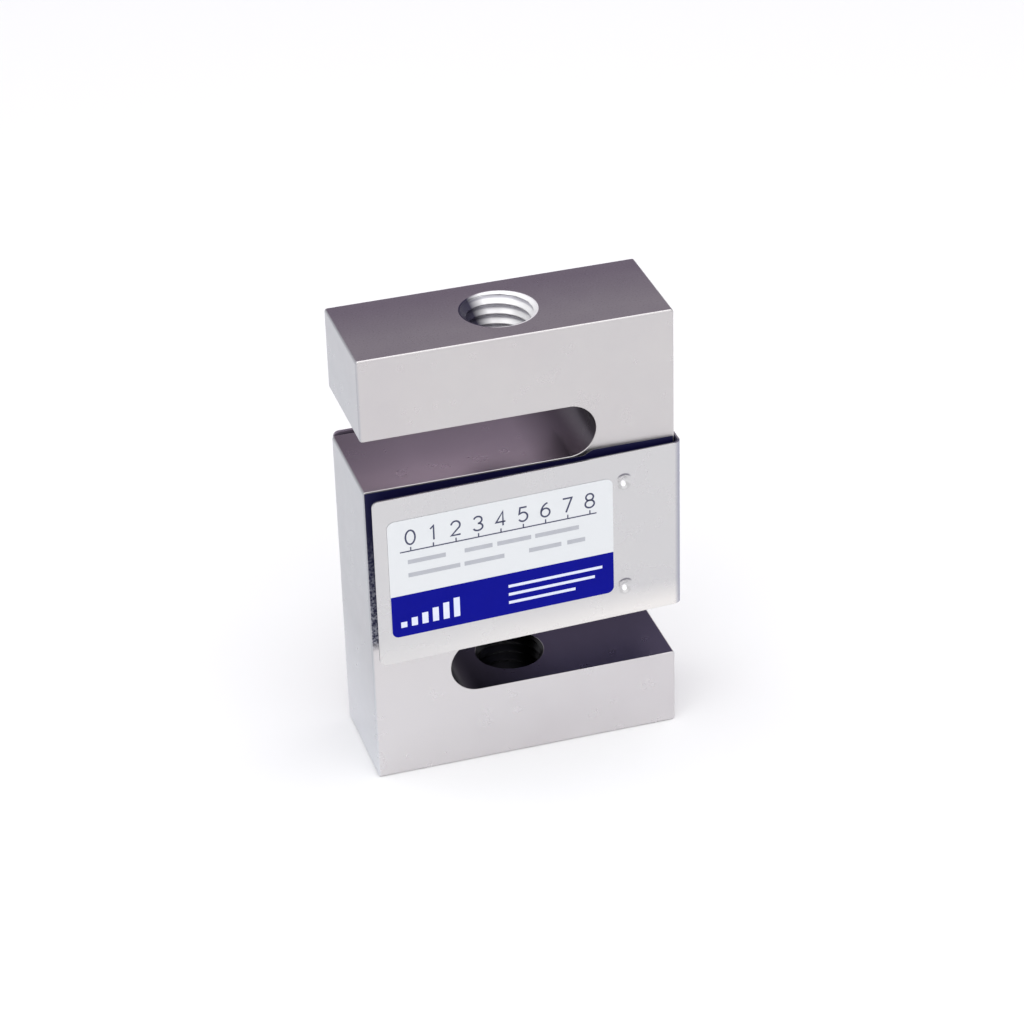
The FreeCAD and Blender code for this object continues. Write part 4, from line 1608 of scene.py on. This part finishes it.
@dataclass
class Studio:
    """A pale floor, soft lights, a sky with a dark backdrop behind, and the camera. Millimetres and
    degrees.
    """

    azimuth: float = -16.145
    elevation: float = 30.679
    roll: float = -1.811
    distance: float = 536.4
    lens: float = 117.61
    aim: Pair = (1.09, 1.33)
    sky: tuple = (0.91, 0.915, 0.925, 1)
    backdrop: tuple = (0.318, 0.282, 0.338, 1)
    backdrop_way: tuple[float, float, float] = (0.24, 0.826, 0.51)
    backdrop_cosines: Pair = (0.60, 0.88)
    window: tuple = (1.25, 1.25, 1.27, 1)
    window_way: tuple[float, float, float] = (0.24, -0.84, 0.56)
    window_cosines: Pair = (0.86, 0.95)

    def axes(self) -> tuple[Array, Array, Array]:
        """The camera's right, up and back."""
        a, e, r = np.radians([self.azimuth, self.elevation, self.roll])
        back = np.array([np.sin(a) * np.cos(e), -np.cos(a) * np.cos(e), np.sin(e)])
        level = np.cross(-back, [0, 0, 1])
        level /= np.linalg.norm(level)
        rise = np.cross(level, -back)
        right = np.cos(r) * level + np.sin(r) * rise
        up = -np.sin(r) * level + np.cos(r) * rise
        return right, up, back

    def add_camera(self) -> Piece:
        """Place the camera and make it the scene's."""
        right, up, back = self.axes()
        low, high = node_span("spring_body")
        target = (low + high) / 2 + self.aim[0] * right + self.aim[1] * up
        place = (target + self.distance * back) * MM
        data = bpy.data.cameras.new("camera")
        data.lens = self.lens
        data.sensor_width = 36
        data.clip_start = 0.01
        camera = bpy.data.objects.new("camera", data)
        turn = Matrix(np.stack([right, up, back], axis=1).tolist()).to_4x4()
        camera.matrix_world = Matrix.Translation(Vector(place)) @ turn
        bpy.context.scene.collection.objects.link(camera)
        bpy.context.scene.camera = camera
        return camera

    def add_floor(self) -> Piece:
        """A wide pale floor just under the block."""
        half = 1500.0
        corners = np.array([[-half, -half, 0], [half, -half, 0], [half, half, 0], [-half, half, 0]])
        floor = new_piece("floor", corners - [0, 0, 0.02], [[0, 1, 2, 3]], smooth=False)
        finish = Finish(
            "floor_paper", tone(248, 248, 248), tone(246, 246, 247), 300.0, 0.0, (0.7, 0.8)
        )
        floor.data.materials.append(finish.paint())
        return floor

    def add_light(self, name: str, place: tuple, aim: tuple, size: tuple, watts: float) -> Piece:
        """A soft rectangular light.

        Args:
            name: the light's name.
            place: where it hangs.
            aim: the point that it faces.
            size: its width and height.
            watts: its power.

        Returns:
            The light.
        """
        data = bpy.data.lights.new(name, "AREA")
        data.shape = "RECTANGLE"
        data.size, data.size_y = size[0] * MM, size[1] * MM
        data.energy = watts
        lamp = bpy.data.objects.new(name, data)
        turn = (Vector(aim) - Vector(place)).to_track_quat("-Z", "Y").to_matrix().to_4x4()
        lamp.matrix_world = Matrix.Translation(Vector(place) * MM) @ turn
        bpy.context.scene.collection.objects.link(lamp)
        return lamp

    def add_sky(self) -> None:
        """A pale sky with a bright window in front and a dark backdrop behind the block.

        Each is a soft round patch: with c the cosine of the angle to its middle, its share is
        0 below the first limit and 1 past the second.
        """
        world = bpy.data.worlds.new("studio")
        recipe = Recipe(world, "BACKGROUND")
        way = recipe.add("ShaderNodeTexCoord", {}, {}, "Generated")
        colour = self.sky
        for middle, (low, high), patch in (
            (self.backdrop_way, self.backdrop_cosines, self.backdrop),
            (self.window_way, self.window_cosines, self.window),
        ):
            unit = tuple(np.array(middle) / np.linalg.norm(middle))
            cosine = recipe.add(
                "ShaderNodeVectorMath", {"operation": "DOT_PRODUCT"}, {0: way, 1: unit}, "Value"
            )
            colour = recipe.mix(cosine.above(low, high - low), colour, patch)
        recipe.feed(recipe.shader.inputs["Color"], colour)
        bpy.context.scene.world = world

    def build(self) -> None:
        """Set up the whole studio."""
        self.add_camera()
        self.add_floor()
        self.add_sky()
        self.add_light("overhead", (0, 0, 800), (0, 0, 0), (800, 700), 2.3)
        fill = self.add_light("front_fill", (40, -330, 520), (18, -80, 0), (360, 360), 0.25)
        fill.visible_glossy = False
        self.add_light("left_key", (-420, -420, 560), (0, 0, 40), (480, 480), 0.6)
        bpy.context.scene.view_settings.view_transform = "Standard"


# ------------------------------------------------------------------ main


def report(pieces: list[Piece]) -> None:
    """Log each piece's name and its number of faces."""
    for piece in pieces:
        log.info("%s: %d faces", piece.name, len(piece.data.polygons))


def main() -> None:
    """Build the studio and every sub-assembly in order."""
    Studio().build()
    cover = WrapCover()
    for maker in (SpringBody(), cover, RatingLabel(cover), CableInlet()):
        report(maker.dress(maker.build()))
    report(Inside().dress())


if __name__ == "__main__":
    main()
